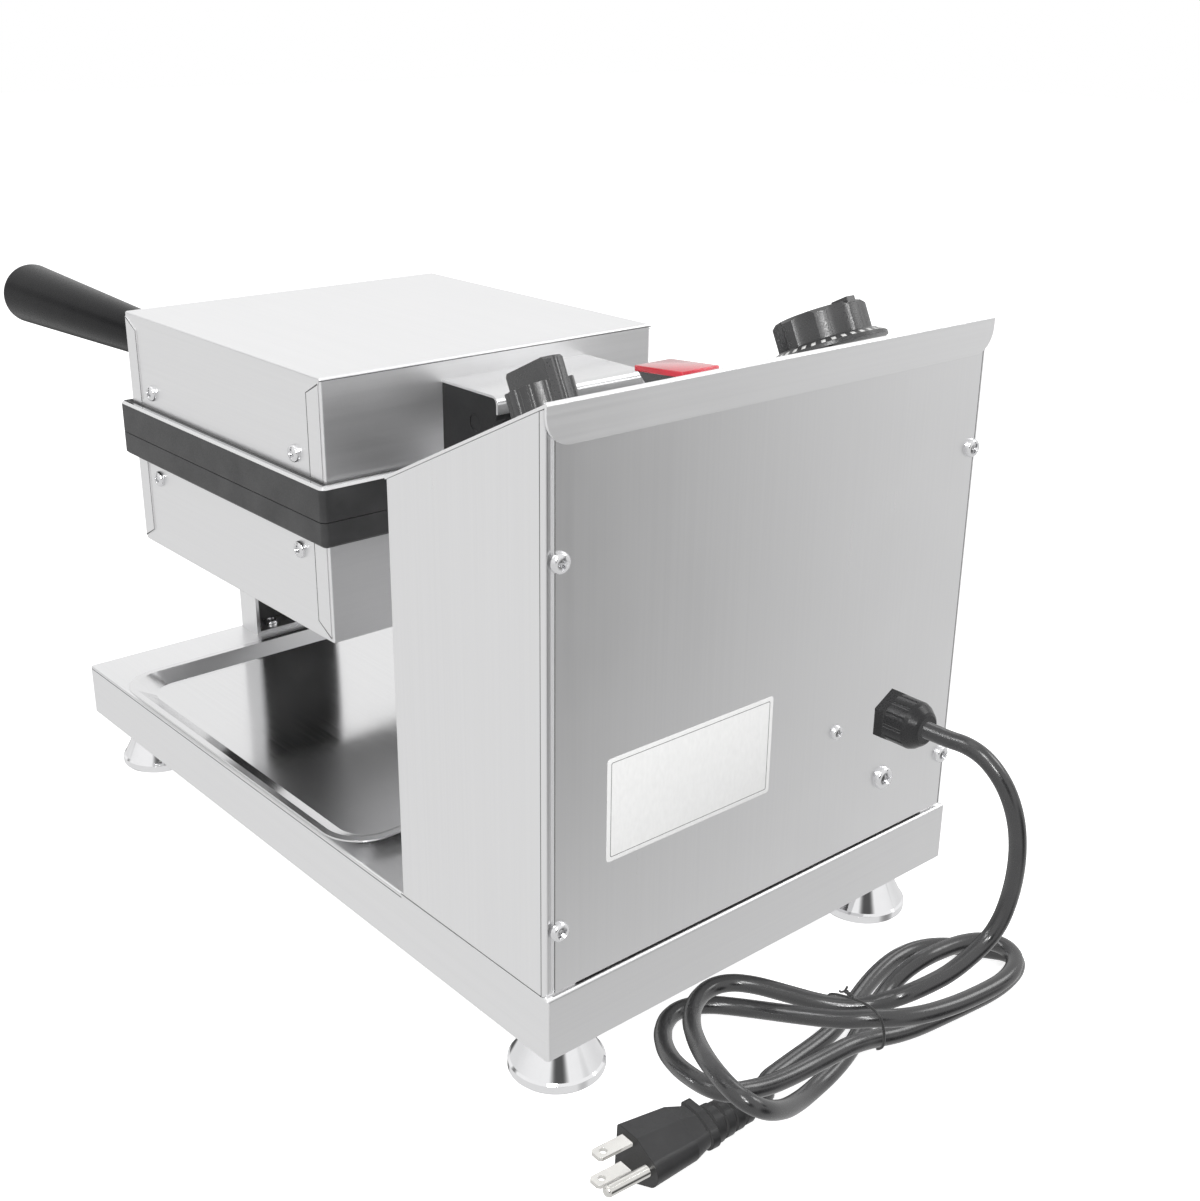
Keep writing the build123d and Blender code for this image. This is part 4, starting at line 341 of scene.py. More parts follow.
def relief(tree, add, shader, heights, edge=None):
    """Bumps from several noises, each with a height in millimetres, over softly rounded edges."""
    normal = None
    if edge:
        normal = add("ShaderNodeBevel", samples=4, Radius=edge * MM).outputs["Normal"]
    for source, height in heights:
        bump = add("ShaderNodeBump", Strength=1.0, Distance=height * MM)
        tree.links.new(source, bump.inputs["Height"])
        if normal:
            tree.links.new(normal, bump.inputs["Normal"])
        normal = bump.outputs["Normal"]
    tree.links.new(normal, shader.inputs["Normal"])


def brushed(name, colour, rough, grain, fine=0.0003):
    """Brushed sheet metal: fine lines along one axis, broad soft waves and faint handling marks."""
    material, tree, shader, add = node_tree(name)

    def lines_along(axis):
        stretch = [GRAIN_ALONG if axis == other else GRAIN_ACROSS for other in "xyz"]
        return noise(tree, add, 1.0, 3.0, stretch)

    if grain == "folded":
        coords = add("ShaderNodeTexCoord")
        parts = add("ShaderNodeSeparateXYZ")
        size = add("ShaderNodeMath", operation="ABSOLUTE")
        side = add("ShaderNodeMath", operation="GREATER_THAN")
        side.inputs[1].default_value = GRAIN_TURNS_AT
        chosen = add("ShaderNodeMix", data_type="FLOAT")
        tree.links.new(coords.outputs["Normal"], parts.inputs["Vector"])
        tree.links.new(parts.outputs["Y"], size.inputs[0])
        tree.links.new(size.outputs["Value"], side.inputs[0])
        tree.links.new(side.outputs["Value"], chosen.inputs["Factor"])
        tree.links.new(lines_along("y"), chosen.inputs["A"])
        tree.links.new(lines_along("x"), chosen.inputs["B"])
        lines = chosen.outputs["Result"]
    else:
        lines = lines_along(grain)
    soft = noise(tree, add, WAVE_SCALE, 1.0)
    smears = noise(tree, add, SMEAR_SCALE, 4.0)
    dark = [c * (1 - GRAIN_SHADE) for c in colour]
    light = [min(1.0, c * (1 + GRAIN_SHADE)) for c in colour]
    tree.links.new(shades(tree, add, lines, dark, light), shader.inputs["Base Color"])
    shader.inputs["Metallic"].default_value = 1.0
    mixed = add("ShaderNodeMath", operation="ADD")
    tree.links.new(spread(tree, add, lines, rough - GRAIN_ROUGH, rough + GRAIN_ROUGH), mixed.inputs[0])
    tree.links.new(spread(tree, add, smears, *SMEAR_ROUGH), mixed.inputs[1])
    tree.links.new(mixed.outputs["Value"], shader.inputs["Roughness"])
    relief(tree, add, shader, [(lines, fine), (soft, WAVE_HEIGHT)], METAL_EDGE)
    return material


def polished(name, colour, rough, blotch=0.02):
    """Plated or polished metal with faint clouds and pinprick wear."""
    material, tree, shader, add = node_tree(name)
    clouds = noise(tree, add, PLATING_SCALE, 5.0)
    pits = noise(tree, add, PIT_SCALE, 2.0)
    dark = [c * (1 - 2 * blotch) for c in colour]
    tree.links.new(shades(tree, add, clouds, dark, colour), shader.inputs["Base Color"])
    shader.inputs["Metallic"].default_value = 1.0
    tree.links.new(spread(tree, add, clouds, rough, rough + 3 * blotch), shader.inputs["Roughness"])
    relief(tree, add, shader, [(pits, PIT_HEIGHT)], METAL_EDGE)
    return material


def moulded(name, dark, light, rough, grain, height, edge=0.3, gloss=0.5):
    """Moulded or cast surface: a fine skin, slow shade changes and uneven gloss."""
    material, tree, shader, add = node_tree(name)
    clouds = noise(tree, add, MOULD_SCALE, 5.0)
    skin = noise(tree, add, grain, 3.0)
    swell = noise(tree, add, SWELL_SCALE, 2.0)
    tree.links.new(shades(tree, add, clouds, dark, light), shader.inputs["Base Color"])
    low, high = (rough + change for change in SKIN_ROUGH)
    tree.links.new(spread(tree, add, skin, low, high), shader.inputs["Roughness"])
    shader.inputs["Specular IOR Level"].default_value = gloss
    relief(tree, add, shader, [(skin, height), (swell, SWELL_HEIGHT)], edge)
    return material


def lens(name, dark, light):
    """Tinted translucent plastic over a paler core, with soft moulding waves."""
    material, tree, shader, add = node_tree(name)
    clouds = noise(tree, add, SWELL_SCALE, 3.0)
    tree.links.new(shades(tree, add, clouds, dark, light), shader.inputs["Base Color"])
    tree.links.new(spread(tree, add, clouds, *LENS_ROUGH), shader.inputs["Roughness"])
    shader.inputs["Subsurface Weight"].default_value = 0.15
    shader.inputs["Subsurface Radius"].default_value = (0.004, 0.0008, 0.0008)
    shader.inputs["Specular IOR Level"].default_value = 0.5
    shader.inputs["Coat Weight"].default_value = 0.5
    relief(tree, add, shader, [(clouds, SWELL_HEIGHT)], LENS_EDGE)
    return material


def paper(name, dark, light):
    """Coated paper with faint fibres."""
    material, tree, shader, add = node_tree(name)
    fibres = noise(tree, add, FIBRE_SCALE, 4.0, FIBRE_STRETCH)
    tree.links.new(shades(tree, add, fibres, dark, light), shader.inputs["Base Color"])
    tree.links.new(spread(tree, add, fibres, *FIBRE_ROUGH), shader.inputs["Roughness"])
    relief(tree, add, shader, [(fibres, FIBRE_HEIGHT)])
    return material


STEEL = (0.84, 0.84, 0.845)
BRIGHT = (0.90, 0.90, 0.905)
SHEEN = (0.76, 0.76, 0.765)
finishes = {
    "stainless_z": brushed("stainless_z", STEEL, 0.30, "z", fine=0.0002),
    "stainless_x": brushed("stainless_x", BRIGHT, 0.40, "x"),
    "folded": brushed("stainless_folded", STEEL, 0.36, "folded"),
    "polished_sheet": brushed("stainless_polished", SHEEN, 0.22, "x"),
    "tray": brushed("stainless_tray", SHEEN, 0.12, "y", fine=0.0006),
    "chrome": polished("chrome", (0.86, 0.86, 0.87), 0.03),
    "zinc": polished("zinc", (0.78, 0.78, 0.79), 0.14, blotch=0.04),
    "steel": polished("steel", (0.60, 0.60, 0.61), 0.26, blotch=0.04),
    "bronze": polished("bronze", (0.58, 0.38, 0.18), 0.3, blotch=0.06),
    "heater_sheath": polished("heater_sheath", (0.22, 0.21, 0.20), 0.42, blotch=0.08),
    "plated_brass": polished("plated_brass", (0.74, 0.73, 0.70), 0.12, blotch=0.03),
    "cast_plate": moulded(
        "cast_plate", (0.034, 0.034, 0.035), (0.056, 0.056, 0.057),
        rough=0.44, grain=1500.0, height=0.014, edge=0.5, gloss=0.4),
    "black_paint": moulded(
        "black_paint", (0.010, 0.010, 0.011), (0.018, 0.018, 0.019),
        rough=0.34, grain=1100.0, height=0.005, gloss=0.3),
    # Painted shade: the colour of the shade inside the front post's channel, on the sheet laid there
    "painted_channel_shade": moulded(
        "painted_channel_shade", (0.080, 0.080, 0.081), (0.115, 0.115, 0.116),
        rough=0.5, grain=1100.0, height=0.005, gloss=0.4),
    "handle_plastic": moulded(
        "handle_plastic", (0.002, 0.002, 0.003), (0.005, 0.005, 0.006),
        rough=0.26, grain=800.0, height=0.006, edge=0.4, gloss=0.08),
    "knob_plastic": moulded(
        "knob_plastic", (0.016, 0.016, 0.017), (0.034, 0.034, 0.035),
        rough=0.30, grain=1500.0, height=0.03, gloss=0.9),
    "case_plastic": moulded(
        "case_plastic", (0.035, 0.035, 0.035), (0.055, 0.055, 0.055),
        rough=0.5, grain=1500.0, height=0.01),
    "gland_plastic": moulded(
        "gland_plastic", (0.010, 0.010, 0.011), (0.020, 0.020, 0.021),
        rough=0.28, grain=1300.0, height=0.005, gloss=0.4),
    "plug_plastic": moulded(
        "plug_plastic", (0.014, 0.014, 0.015), (0.026, 0.026, 0.027),
        rough=0.36, grain=1400.0, height=0.010, edge=0.4, gloss=0.4),
    "cord_rubber": moulded(
        "cord_rubber", (0.012, 0.012, 0.013), (0.022, 0.022, 0.023),
        rough=0.21, grain=1200.0, height=0.004, edge=None, gloss=0.95),
    "tie_wire": moulded(
        "tie_wire", (0.02, 0.02, 0.02), (0.03, 0.03, 0.03),
        rough=0.3, grain=1500.0, height=0.003, edge=None),
    # Painted shadow: the dark colour of the narrow shaded gaps at the folds and edges of the sheets
    "seam": moulded(
        "seam_shadow", (0.10, 0.10, 0.10), (0.15, 0.15, 0.15),
        rough=0.6, grain=900.0, height=0.002, edge=None, gloss=0.2),
    "red_lens": lens("red_lens", (0.55, 0.004, 0.02), (0.72, 0.012, 0.045)),
    "label": paper("label_paper", (0.88, 0.88, 0.875), (0.93, 0.93, 0.925)),
    "label_rule": paper("label_rule", (0.20, 0.20, 0.20), (0.26, 0.26, 0.26)),
    "dial_mark": paper("dial_mark", (0.74, 0.74, 0.73), (0.84, 0.84, 0.83)),
}

# The grain of each stainless node, and the steel nodes that are painted black
GRAIN = {
    "base_frame": "folded", "control_box_shell": "stainless_z", "rear_panel": "stainless_z",
    "control_panel": "stainless_x", "upper_cover": "folded", "lower_cover": "folded",
    "drip_tray": "tray", "front_post": "stainless_z"}
PAINTED = ("hinge_pin", "front_pivot_bracket")


def finish_of(node):
    """The material of a CAD node, from its slot in the record unless it is painted."""
    if node in PAINTED:
        return finishes["black_paint"]
    slot = next(part["material_slot"] for part in frame["record"]["subparts"] if part["node"] == node)
    if slot == "stainless":
        return finishes[GRAIN.get(node, "stainless_x")]
    return finishes[slot]


for name, piece in frame["nodes"].items():
    if piece.material_slots:
        for place in piece.material_slots:
            place.material = finish_of(name)
    else:
        piece.data.materials.append(finish_of(name))


def new_object(name, data):
    """A new object in the scene."""
    made = bpy.data.objects.new(name, data)
    bpy.context.scene.collection.objects.link(made)
    return made


def finished_mesh(name, work):
    """The mesh of a bmesh, which is used up."""
    data = bpy.data.meshes.new(name)
    work.to_mesh(data)
    work.free()
    return data


def mesh_piece(name, work, material, body):
    """A new piece from a bmesh in metres."""
    data = finished_mesh(name, work)
    data.materials.append(finishes[material])
    for face in data.polygons:
        face.use_smooth = True
    piece = new_object(name, data)
    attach(piece, body)
    return piece


def curve_piece(name, points, radius, material, body, rings=5):
    """A round wire or cord along a smooth open spline, points in millimetres."""
    data = bpy.data.curves.new(name, "CURVE")
    data.dimensions = "3D"
    data.bevel_depth = radius * MM
    data.bevel_resolution = rings
    data.resolution_u = CORD_STEPS
    data.use_fill_caps = True
    spline = data.splines.new("NURBS")
    spline.points.add(len(points) - 1)
    for place, point in zip(spline.points, points):
        place.co = (*(Vector(point) * MM), 1)
    spline.order_u = CORD_ORDER
    spline.use_endpoint_u = True
    data.materials.append(finishes[material])
    piece = new_object(name, data)
    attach(piece, body)
    return piece


def flatten(piece):
    """Smooth faces that stay sharp over hard corners."""
    bpy.context.view_layer.objects.active = piece
    piece.select_set(True)
    bpy.ops.object.shade_smooth_by_angle(angle=math.radians(SHARP_FROM))
    piece.select_set(False)


def box_mm(node):
    """The low and high corners of a node in millimetres."""
    return [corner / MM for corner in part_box(node)]


def rectangle(y0, y1, z0, z1):
    """The outline of an upright rectangle across X."""
    return [(y0, z0), (y1, z0), (y1, z1), (y0, z1)]


def rounded(half_x, half_y, corner):
    """The points of a rectangle with round corners, about its middle."""
    made = []
    for x, y, turn in ((1, 1, 0), (-1, 1, 90), (-1, -1, 180), (1, -1, 270)):
        centre = Vector((x * (half_x - corner), y * (half_y - corner)))
        for i in range(CORNER_STEPS + 1):
            angle = math.radians(turn + 90 * i / CORNER_STEPS)
            made.append(centre + Vector((math.cos(angle), math.sin(angle))) * corner)
    return made


def bridge(work, one, two):
    """Faces between two closed rings of as many points."""
    for i in range(len(one)):
        j = (i + 1) % len(one)
        work.faces.new((one[i], one[j], two[j], two[i]))


def bridge_round(work, rings):
    """Faces between each ring and the next, and from the last to the first."""
    for one, two in zip(rings, rings[1:] + rings[:1]):
        bridge(work, one, two)
    bmesh.ops.recalc_face_normals(work, faces=work.faces)


def prism(work, outline, x0, x1, place=Matrix()):
    """A closed outline of y and z, drawn out along X, in millimetres of the given place."""
    rings = []
    for x in (x0, x1):
        rings.append([work.verts.new(place @ (Vector((x, y, z)) * MM)) for y, z in outline])
    bridge(work, *rings)
    work.faces.new(rings[0][::-1])
    work.faces.new(rings[1])
    bmesh.ops.recalc_face_normals(work, faces=work.faces)


def soften(work, width):
    """Round every edge of a bmesh a little."""
    bmesh.ops.bevel(
        work, geom=work.edges[:], offset=width * MM, segments=BEVEL_SEGMENTS, profile=0.5,
        affect="EDGES", clamp_overlap=True)


def behind_base(points):
    """Points measured behind the base's middle, in the part's frame."""
    return [Vector((x, BASE_MIDDLE_Y + behind, z)) for x, behind, z in points]


def make_cord():
    """The mains cord from the gland to the plug, with its wire tie."""
    axis = Vector((math.cos(PLUG_TILT), 0, math.sin(PLUG_TILT)))
    axis.rotate(Matrix.Rotation(PLUG_YAW, 3, "Z"))
    mouth = behind_base([GLAND_MOUTH])[0]
    start = [mouth, mouth + Vector((0, CORD_STRAIGHT, 0))]
    plug = behind_base([PLUG_START])[0]
    route = start + behind_base(FREE_ROUTE + HANK_ROUTE) + [plug - axis * (CORD_STRAIGHT - 1), plug]
    cord = curve_piece("mains_cord", route, CORD_R, "cord_rubber", "stand")
    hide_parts("power_cord", "cord_hank")
    tie = curve_piece("cord_tie", behind_base(TIE_OVER), TIE_R, "tie_wire", "stand", rings=3)
    low, high = behind_base([TIE_TWIST_FROM, TIE_TWIST_TO])
    for name, first in (("cord_tie_end_a", 0), ("cord_tie_end_b", math.pi)):
        points = []
        for i in range(TIE_STEPS + 1):
            share = i / TIE_STEPS
            turn = first + share * TIE_TURNS * 2 * math.pi
            reach = TIE_R + max(0.0, share - TIE_FLARE_FROM) * TIE_FLARE
            across = Vector((math.cos(turn), math.sin(turn) * TIE_DEPTH, math.sin(turn) * TIE_HEIGHT))
            points.append(low.lerp(high, share) + across * reach)
        curve_piece(name, points, TIE_R * TIE_END, "tie_wire", "stand", rings=3)


def make_label():
    """A blank label with rounded corners and one ruled line inside its edge."""
    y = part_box("rear_panel")[1].y
    low, high = (Vector(corner) for corner in zip(LABEL_X, LABEL_Z))
    middle = (low + high) / 2
    half = (high - low) / 2

    def outline(work, inset, level):
        corner = LABEL_CORNER - inset * LABEL_CORNER_LESS
        points = [middle + point for point in rounded(half.x - inset, half.y - inset, corner)]
        return [work.verts.new((point.x * MM, y + level * MM, point.y * MM)) for point in points]

    work = bmesh.new()
    back = outline(work, 0, 0)
    edge = outline(work, 0, LABEL_THICK * LABEL_EDGE)
    face = outline(work, LABEL_EDGE_IN, LABEL_THICK)
    bridge(work, back, edge)
    bridge(work, edge, face)
    work.faces.new(face)
    work.faces.new(back[::-1])
    bmesh.ops.recalc_face_normals(work, faces=work.faces)
    mesh_piece("rear_label", work, "label", "stand")
    work = bmesh.new()
    outer = LABEL_RULE_INSET
    inner = LABEL_RULE_INSET + LABEL_RULE
    root = LABEL_THICK * LABEL_RULE_ROOT
    crest = LABEL_THICK + LABEL_RULE_PROUD
    places = ((outer, root), (outer, crest), (inner, crest), (inner, root))
    bridge_round(work, [outline(work, *place) for place in places])
    mesh_piece("rear_label_rule", work, "label_rule", "stand")


def islands(piece):
    """The lowest and highest corners of each separate solid in a node."""
    points = [vertex.co.copy() for vertex in piece.data.vertices]
    parent = {}

    def find(key):
        while parent[key] != key:
            parent[key] = parent[parent[key]]
            key = parent[key]
        return key

    keys = [tuple(round(c / MICRON) for c in point) for point in points]
    for key in keys:
        parent.setdefault(key, key)
    for edge in piece.data.edges:
        parent[find(keys[edge.vertices[0]])] = find(keys[edge.vertices[1]])
    groups = {}
    for key, point in zip(keys, points):
        groups.setdefault(find(key), []).append(point)
    boxes = []
    for group in groups.values():
        low = Vector([min(p[i] for p in group) for i in range(3)])
        high = Vector([max(p[i] for p in group) for i in range(3)])
        boxes.append((low, high))
    return boxes


def recess_cutter(radius, height, kind):
    """The tool that cuts a head's recess, in millimetres, with the head's seat at zero."""
    work = bmesh.new()
    if kind == "hex":
        place = Matrix.Translation((0, 0, height * HEX_LEVEL))
        bmesh.ops.create_cone(
            work, cap_ends=True, segments=6, radius1=radius * HEX_FOOT, radius2=radius * HEX_MOUTH,
            depth=height, matrix=place)
    else:
        rings = []
        for level, reach, width in CROSS_LEVELS:
            ring = []
            for quarter in range(4):
                turn = Matrix.Rotation(quarter * math.pi / 2, 3, "Z")
                for x, y in ((reach, -width), (reach, width), (width, width)):
                    ring.append(work.verts.new(turn @ Vector((x * radius, y * radius, level * height))))
            rings.append(ring)
        bridge(work, *rings)
        work.faces.new(rings[0][::-1])
        work.faces.new(rings[1])
    bmesh.ops.recalc_face_normals(work, faces=work.faces)
    return new_object("cutter", finished_mesh("cutter", work))


def screw_mesh(radius, length):
    """One screw standing on its seat: a domed or plain head with a cut recess, and its shank below."""
    height, shank, recess = SCREW_KINDS[radius]
    if recess == "hex":
        head = [(radius, height - HEAD_BEVEL), (radius - HEAD_BEVEL, height)]
    else:
        head = [(radius * wide, height * tall) for wide, tall in DOME]
    tip = height - length
    stem = [(0, tip), (shank - TIP_IN, tip), (shank, tip + TIP_BEVEL), (shank, 0)]
    work = bmesh.new()
    rings = []
    for reach, level in [*stem, (radius, 0), *head, (0, height)]:
        count = SCREW_SEGMENTS if reach else 1
        angles = [2 * math.pi * i / SCREW_SEGMENTS for i in range(count)]
        rings.append([work.verts.new((reach * math.cos(a), reach * math.sin(a), level)) for a in angles])
    for low, high in zip(rings, rings[1:]):
        for i in range(SCREW_SEGMENTS):
            j = (i + 1) % SCREW_SEGMENTS
            face = [low[i % len(low)], low[j % len(low)], high[j % len(high)], high[i % len(high)]]
            work.faces.new(list(dict.fromkeys(face)))
    bmesh.ops.recalc_face_normals(work, faces=work.faces)
    screw = new_object("screw", finished_mesh("screw", work))
    cutter = recess_cutter(radius, height, recess)
    cut = screw.modifiers.new("recess", "BOOLEAN")
    cut.object = cutter
    cut.operation = "DIFFERENCE"
    cut.solver = "EXACT"
    bpy.context.view_layer.update()
    made = bpy.data.meshes.new_from_object(screw.evaluated_get(bpy.context.evaluated_depsgraph_get()))
    for thing in (screw, cutter):
        bpy.data.objects.remove(thing)
    return made


def screw_measures(low, high):
    """The head's radius, the axis and the length of the screw that fills a box."""
    size = (high - low) / MM
    fits = []
    for axis in range(3):
        one, two = size[(axis + 1) % 3], size[(axis + 2) % 3]
        for radius in SCREW_KINDS:
            fits.append((abs(min(one, two) / 2 - radius) + abs(one - two), radius, axis))
    radius, axis = min(fits)[1:]
    return radius, axis, size[axis]


def screw_direction(node, centre, axis):
    """The way that a screw's head faces: out of the object, or as its node needs it."""
    if node == "base_screws":
        return Vector((0, 0, 1))
    if node in ("hinge_screws", "pivot_bolts"):
        return Vector((0, 1 if centre.y > 0 else -1, 0))
    if node == "bearing_bolts":
        return Vector((0, -1, 0))
    middle = Vector((0, BASE_MIDDLE_Y, SCREW_MIDDLE_Z)) * MM
    direction = Vector((0, 0, 0))
    direction[axis] = 1 if centre[axis] > middle[axis] else -1
    return direction


def make_screws():
    """Screws with real recesses in the places of the plain ones, each turned a little differently."""
    bodies = frame["record"]["behaviour"]["bodies"]
    body_of = {node: body for body, nodes in bodies.items() for node in nodes}
    made = {}
    for node, material in SCREW_NODES.items():
        work = bmesh.new()
        for index, (low, high) in enumerate(islands(frame["nodes"][node])):
            radius, axis, length = screw_measures(low, high)
            centre = (low + high) / 2
            direction = screw_direction(node, centre, axis)
            top = high[axis] if direction[axis] > 0 else low[axis]
            seat = centre.copy()
            seat[axis] = top - direction[axis] * SCREW_KINDS[radius][0] * MM
            key = (radius, round(length, 1))
            if key not in made:
                made[key] = screw_mesh(radius, length)
            facing = direction.to_track_quat("Z", "Y").to_matrix().to_4x4()
            turn = Matrix.Rotation(SCREW_TURN * index + SCREW_FIRST_TURN, 4, "Z")
            copy = made[key].copy()
            copy.transform(Matrix.Translation(seat) @ facing @ turn @ Matrix.Scale(MM, 4))
            work.from_mesh(copy)
        piece = mesh_piece(node + "_dressed", work, material, body_of[node])
        flatten(piece)
        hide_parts(node)


def panel_frame(x, up):
    """The place on the sloping control panel whose own Z points out of it."""
    slope = math.atan2(PANEL_RISE, PANEL_DEPTH)
    place = Matrix.Translation(PANEL_FRONT) @ Matrix.Rotation(slope, 4, "X")
    return place @ Matrix.Translation(Vector((x, up, 0)) * MM)


def make_dial_marks():
    """Pale marks round the sloping edge of the thermostat's dial."""
    place = panel_frame(DIAL_X, DIAL_UP)
    work = bmesh.new()
    outer = Vector((DIAL_R, DIAL_LIFT + DIAL_RIM))
    inner = Vector((DIAL_R - DIAL_SLOPE_IN, DIAL_LIFT + DIAL_HEIGHT))
    slope = (inner - outer).normalized()
    out = Vector((slope.y, -slope.x))
    for i in range(DIAL_MARKS):
        turn = Matrix.Rotation(2 * math.pi * i / DIAL_MARKS, 4, "Z")
        corners = []
        for level in MARK_LEVELS:
            for along in (MARK_FROM, MARK_TO):
                at = outer + slope * along + out * level
                for side in (-MARK_HALF_WIDTH, MARK_HALF_WIDTH):
                    corners.append(work.verts.new(place @ turn @ (Vector((at.x, side, at.y)) * MM)))
        for face in BOX_FACES:
            work.faces.new([corners[k] for k in face])
    bmesh.ops.recalc_face_normals(work, faces=work.faces)
    mesh_piece("dial_marks", work, "dial_mark", "thermostat")


def make_rocker():
    """The red rocker cap, tipped towards the front, and the dark skirt that carries it in its well."""
    place = panel_frame(SWITCH_X, SWITCH_UP) @ Matrix.Translation((0, 0, SWITCH_PIN * MM))
    along = (CAP_REAR - CAP_FRONT).normalized()
    down = Vector((along.y, -along.x)) * CAP_THICK
    outline = [CAP_FRONT, CAP_REAR, CAP_REAR + down, CAP_FRONT + down]
    work = bmesh.new()
    prism(work, outline, -CAP_WIDTH / 2, CAP_WIDTH / 2, place)
    soften(work, CAP_ROUND)
    cap = mesh_piece("rocker_cap", work, "red_lens", "switch")
    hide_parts("rocker")
    work = bmesh.new()
    prism(work, SKIRT_OUTLINE, -SKIRT_WIDTH / 2, SKIRT_WIDTH / 2, place)
    soften(work, SKIRT_ROUND)
    mesh_piece("rocker_skirt", work, "knob_plastic", "switch")


def make_hinge_sheet():
    """The polished sheet bent over the lid hinge, with a round bend and a short drop behind."""
    low, high = box_mm("hinge_cover")
    centre_y = high.y - HINGE_BEND
    centre_z = high.z - HINGE_BEND
    turns = [math.radians(90 - 90 * i / HINGE_BEND_STEPS) for i in range(HINGE_BEND_STEPS + 1)]

    def bend(radius):
        return [(centre_y + radius * math.cos(a), centre_z + radius * math.sin(a)) for a in turns]

    drop = high.z - HINGE_DROP
    inner_bend = bend(HINGE_BEND - HINGE_SHEET)[::-1]
    outside = [(low.y, high.z), *bend(HINGE_BEND), (high.y, drop)]
    inside = [(high.y - HINGE_SHEET, drop), *inner_bend, (low.y, high.z - HINGE_SHEET)]
    work = bmesh.new()
    prism(work, outside + inside, low.x, high.x)
    sheet = mesh_piece("hinge_sheet", work, "polished_sheet", "lid")
    flatten(sheet)
    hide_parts("hinge_cover")


def make_plate_trim():
    """The bare edge round the upper plate: its ledge outside the cover, and the chamfer below."""
    low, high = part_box("upper_plate")
    middle = (low + high) / 2 / MM
    half = (high - low) / 2 / MM
    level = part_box("upper_cover")[0].z / MM
    skin = TRIM_THICK * TRIM_SKIN
    profile = [
        (TRIM_INSET, 0), (TRIM_INSET, TRIM_THICK), (PLATE_CHAMFER, TRIM_THICK),
        (-skin, skin - PLATE_CHAMFER), (0, -PLATE_CHAMFER), (PLATE_CHAMFER, 0)]
    work = bmesh.new()
    rings = []
    for inset, rise in profile:
        corner = max(TRIM_LEAST_CORNER, PLATE_CORNER - inset)
        ring = []
        for point in rounded(half.x - inset, half.y - inset, corner):
            ring.append(work.verts.new(Vector((middle.x + point.x, middle.y + point.y, level + rise)) * MM))
        rings.append(ring)
    bridge_round(work, rings)
    flatten(mesh_piece("upper_plate_bare_edge", work, "polished_sheet", "lid"))


def line_at(work, outline, x):
    """A thin line on a face across X, a hair proud of it."""
    prism(work, outline, x - SEAM_PROUD, x + SEAM_PROUD)


def make_shadow_lines():
    """A thin line of painted shadow along the edge of each corner tab of the covers, and the upper one's
    rear fold.
    """
    for node, body, side in (("upper_cover", "lid", 1), ("lower_cover", "head", -1)):
        low, high = box_mm(node)
        open_z, closed_z = (low.z, high.z) if side > 0 else (high.z, low.z)
        top = closed_z - side * 2 * TAB_BEND
        work = bmesh.new()
        for y, j in ((low.y, 1), (high.y, -1)):
            tab = y + j * TAB_WIDTH
            line = [(tab, open_z + side), (tab, top - side * TAB_WIDTH / 2), (y + j * TAB_BEND, top)]
            inner = [(a - j * SEAM, b - side * SEAM * SEAM_SLANT * i) for i, (a, b) in enumerate(line)]
            for x in (low.x, high.x):
                line_at(work, line + inner[::-1], x)
        if side > 0:
            fold = high.z - TAB_BEND
            rear = rectangle(high.y - SEAM_PROUD, high.y + SEAM_PROUD, fold - SEAM, fold)
            prism(work, rear, low.x, high.x)
        mesh_piece(node + "_shadow_lines", work, "seam", body)


def make_housing_shadow_lines():
    """Thin lines of painted shadow: the base's top edge, the box's foot and rear corners, and the rear
    panel's sides.
    """
    base_low, base_high = box_mm("base_frame")
    box_low, box_high = box_mm("control_box_shell")
    panel_low, panel_high = box_mm("rear_panel")
    corner = box_high.y - BOX_CORNER
    edge = base_high.z - BASE_BEND
    foot_line = rectangle(box_low.y, corner, base_high.z, base_high.z + SEAM)
    base_line = rectangle(base_low.y + BASE_BEND, box_low.y, edge - SEAM, edge)
    upright = rectangle(corner - SEAM, corner, base_high.z, panel_high.z)
    work = bmesh.new()
    for x, side in ((base_low.x, -1), (base_high.x, 1)):
        line_at(work, foot_line, x)
        line_at(work, base_line, x)
        prism(work, upright, *sorted((x - side * BOX_CORNER_IN, x - side * (BOX_CORNER_IN + SEAM))))
    face = rectangle(panel_high.y - SEAM_PROUD, panel_high.y + SEAM_PROUD, panel_low.z, panel_high.z)
    for x in (panel_low.x, panel_high.x - SEAM):
        prism(work, face, x, x + SEAM)
    mesh_piece("housing_shadow_lines", work, "seam", "stand")


def make_post_shade_sheet():
    """A dark sheet inside the front post's open channel, painted shade that stands for the shade in it."""
    low, high = box_mm("front_post")
    reach = high.x - POST_SHEET - SHADE_SHEET_GAP
    front = low.y + POST_SHEET + SHADE_SHEET_GAP
    rear = high.y - SHADE_SHEET
    outside = [(-reach, rear), (-reach, front), (reach, front), (reach, rear)]
    inner = reach - SHADE_SHEET
    inside = [(inner, rear), (inner, front + SHADE_SHEET), (-inner, front + SHADE_SHEET), (-inner, rear)]
    upright = Matrix(((0, 1, 0, 0), (0, 0, 1, 0), (1, 0, 0, 0), (0, 0, 0, 1)))
    work = bmesh.new()
    prism(work, outside + inside, low.z + POST_SHEET + SHADE_SHEET_GAP, SHADE_SHEET_TOP, upright)
    mesh_piece("front_post_shade_sheet", work, "painted_channel_shade", "stand")


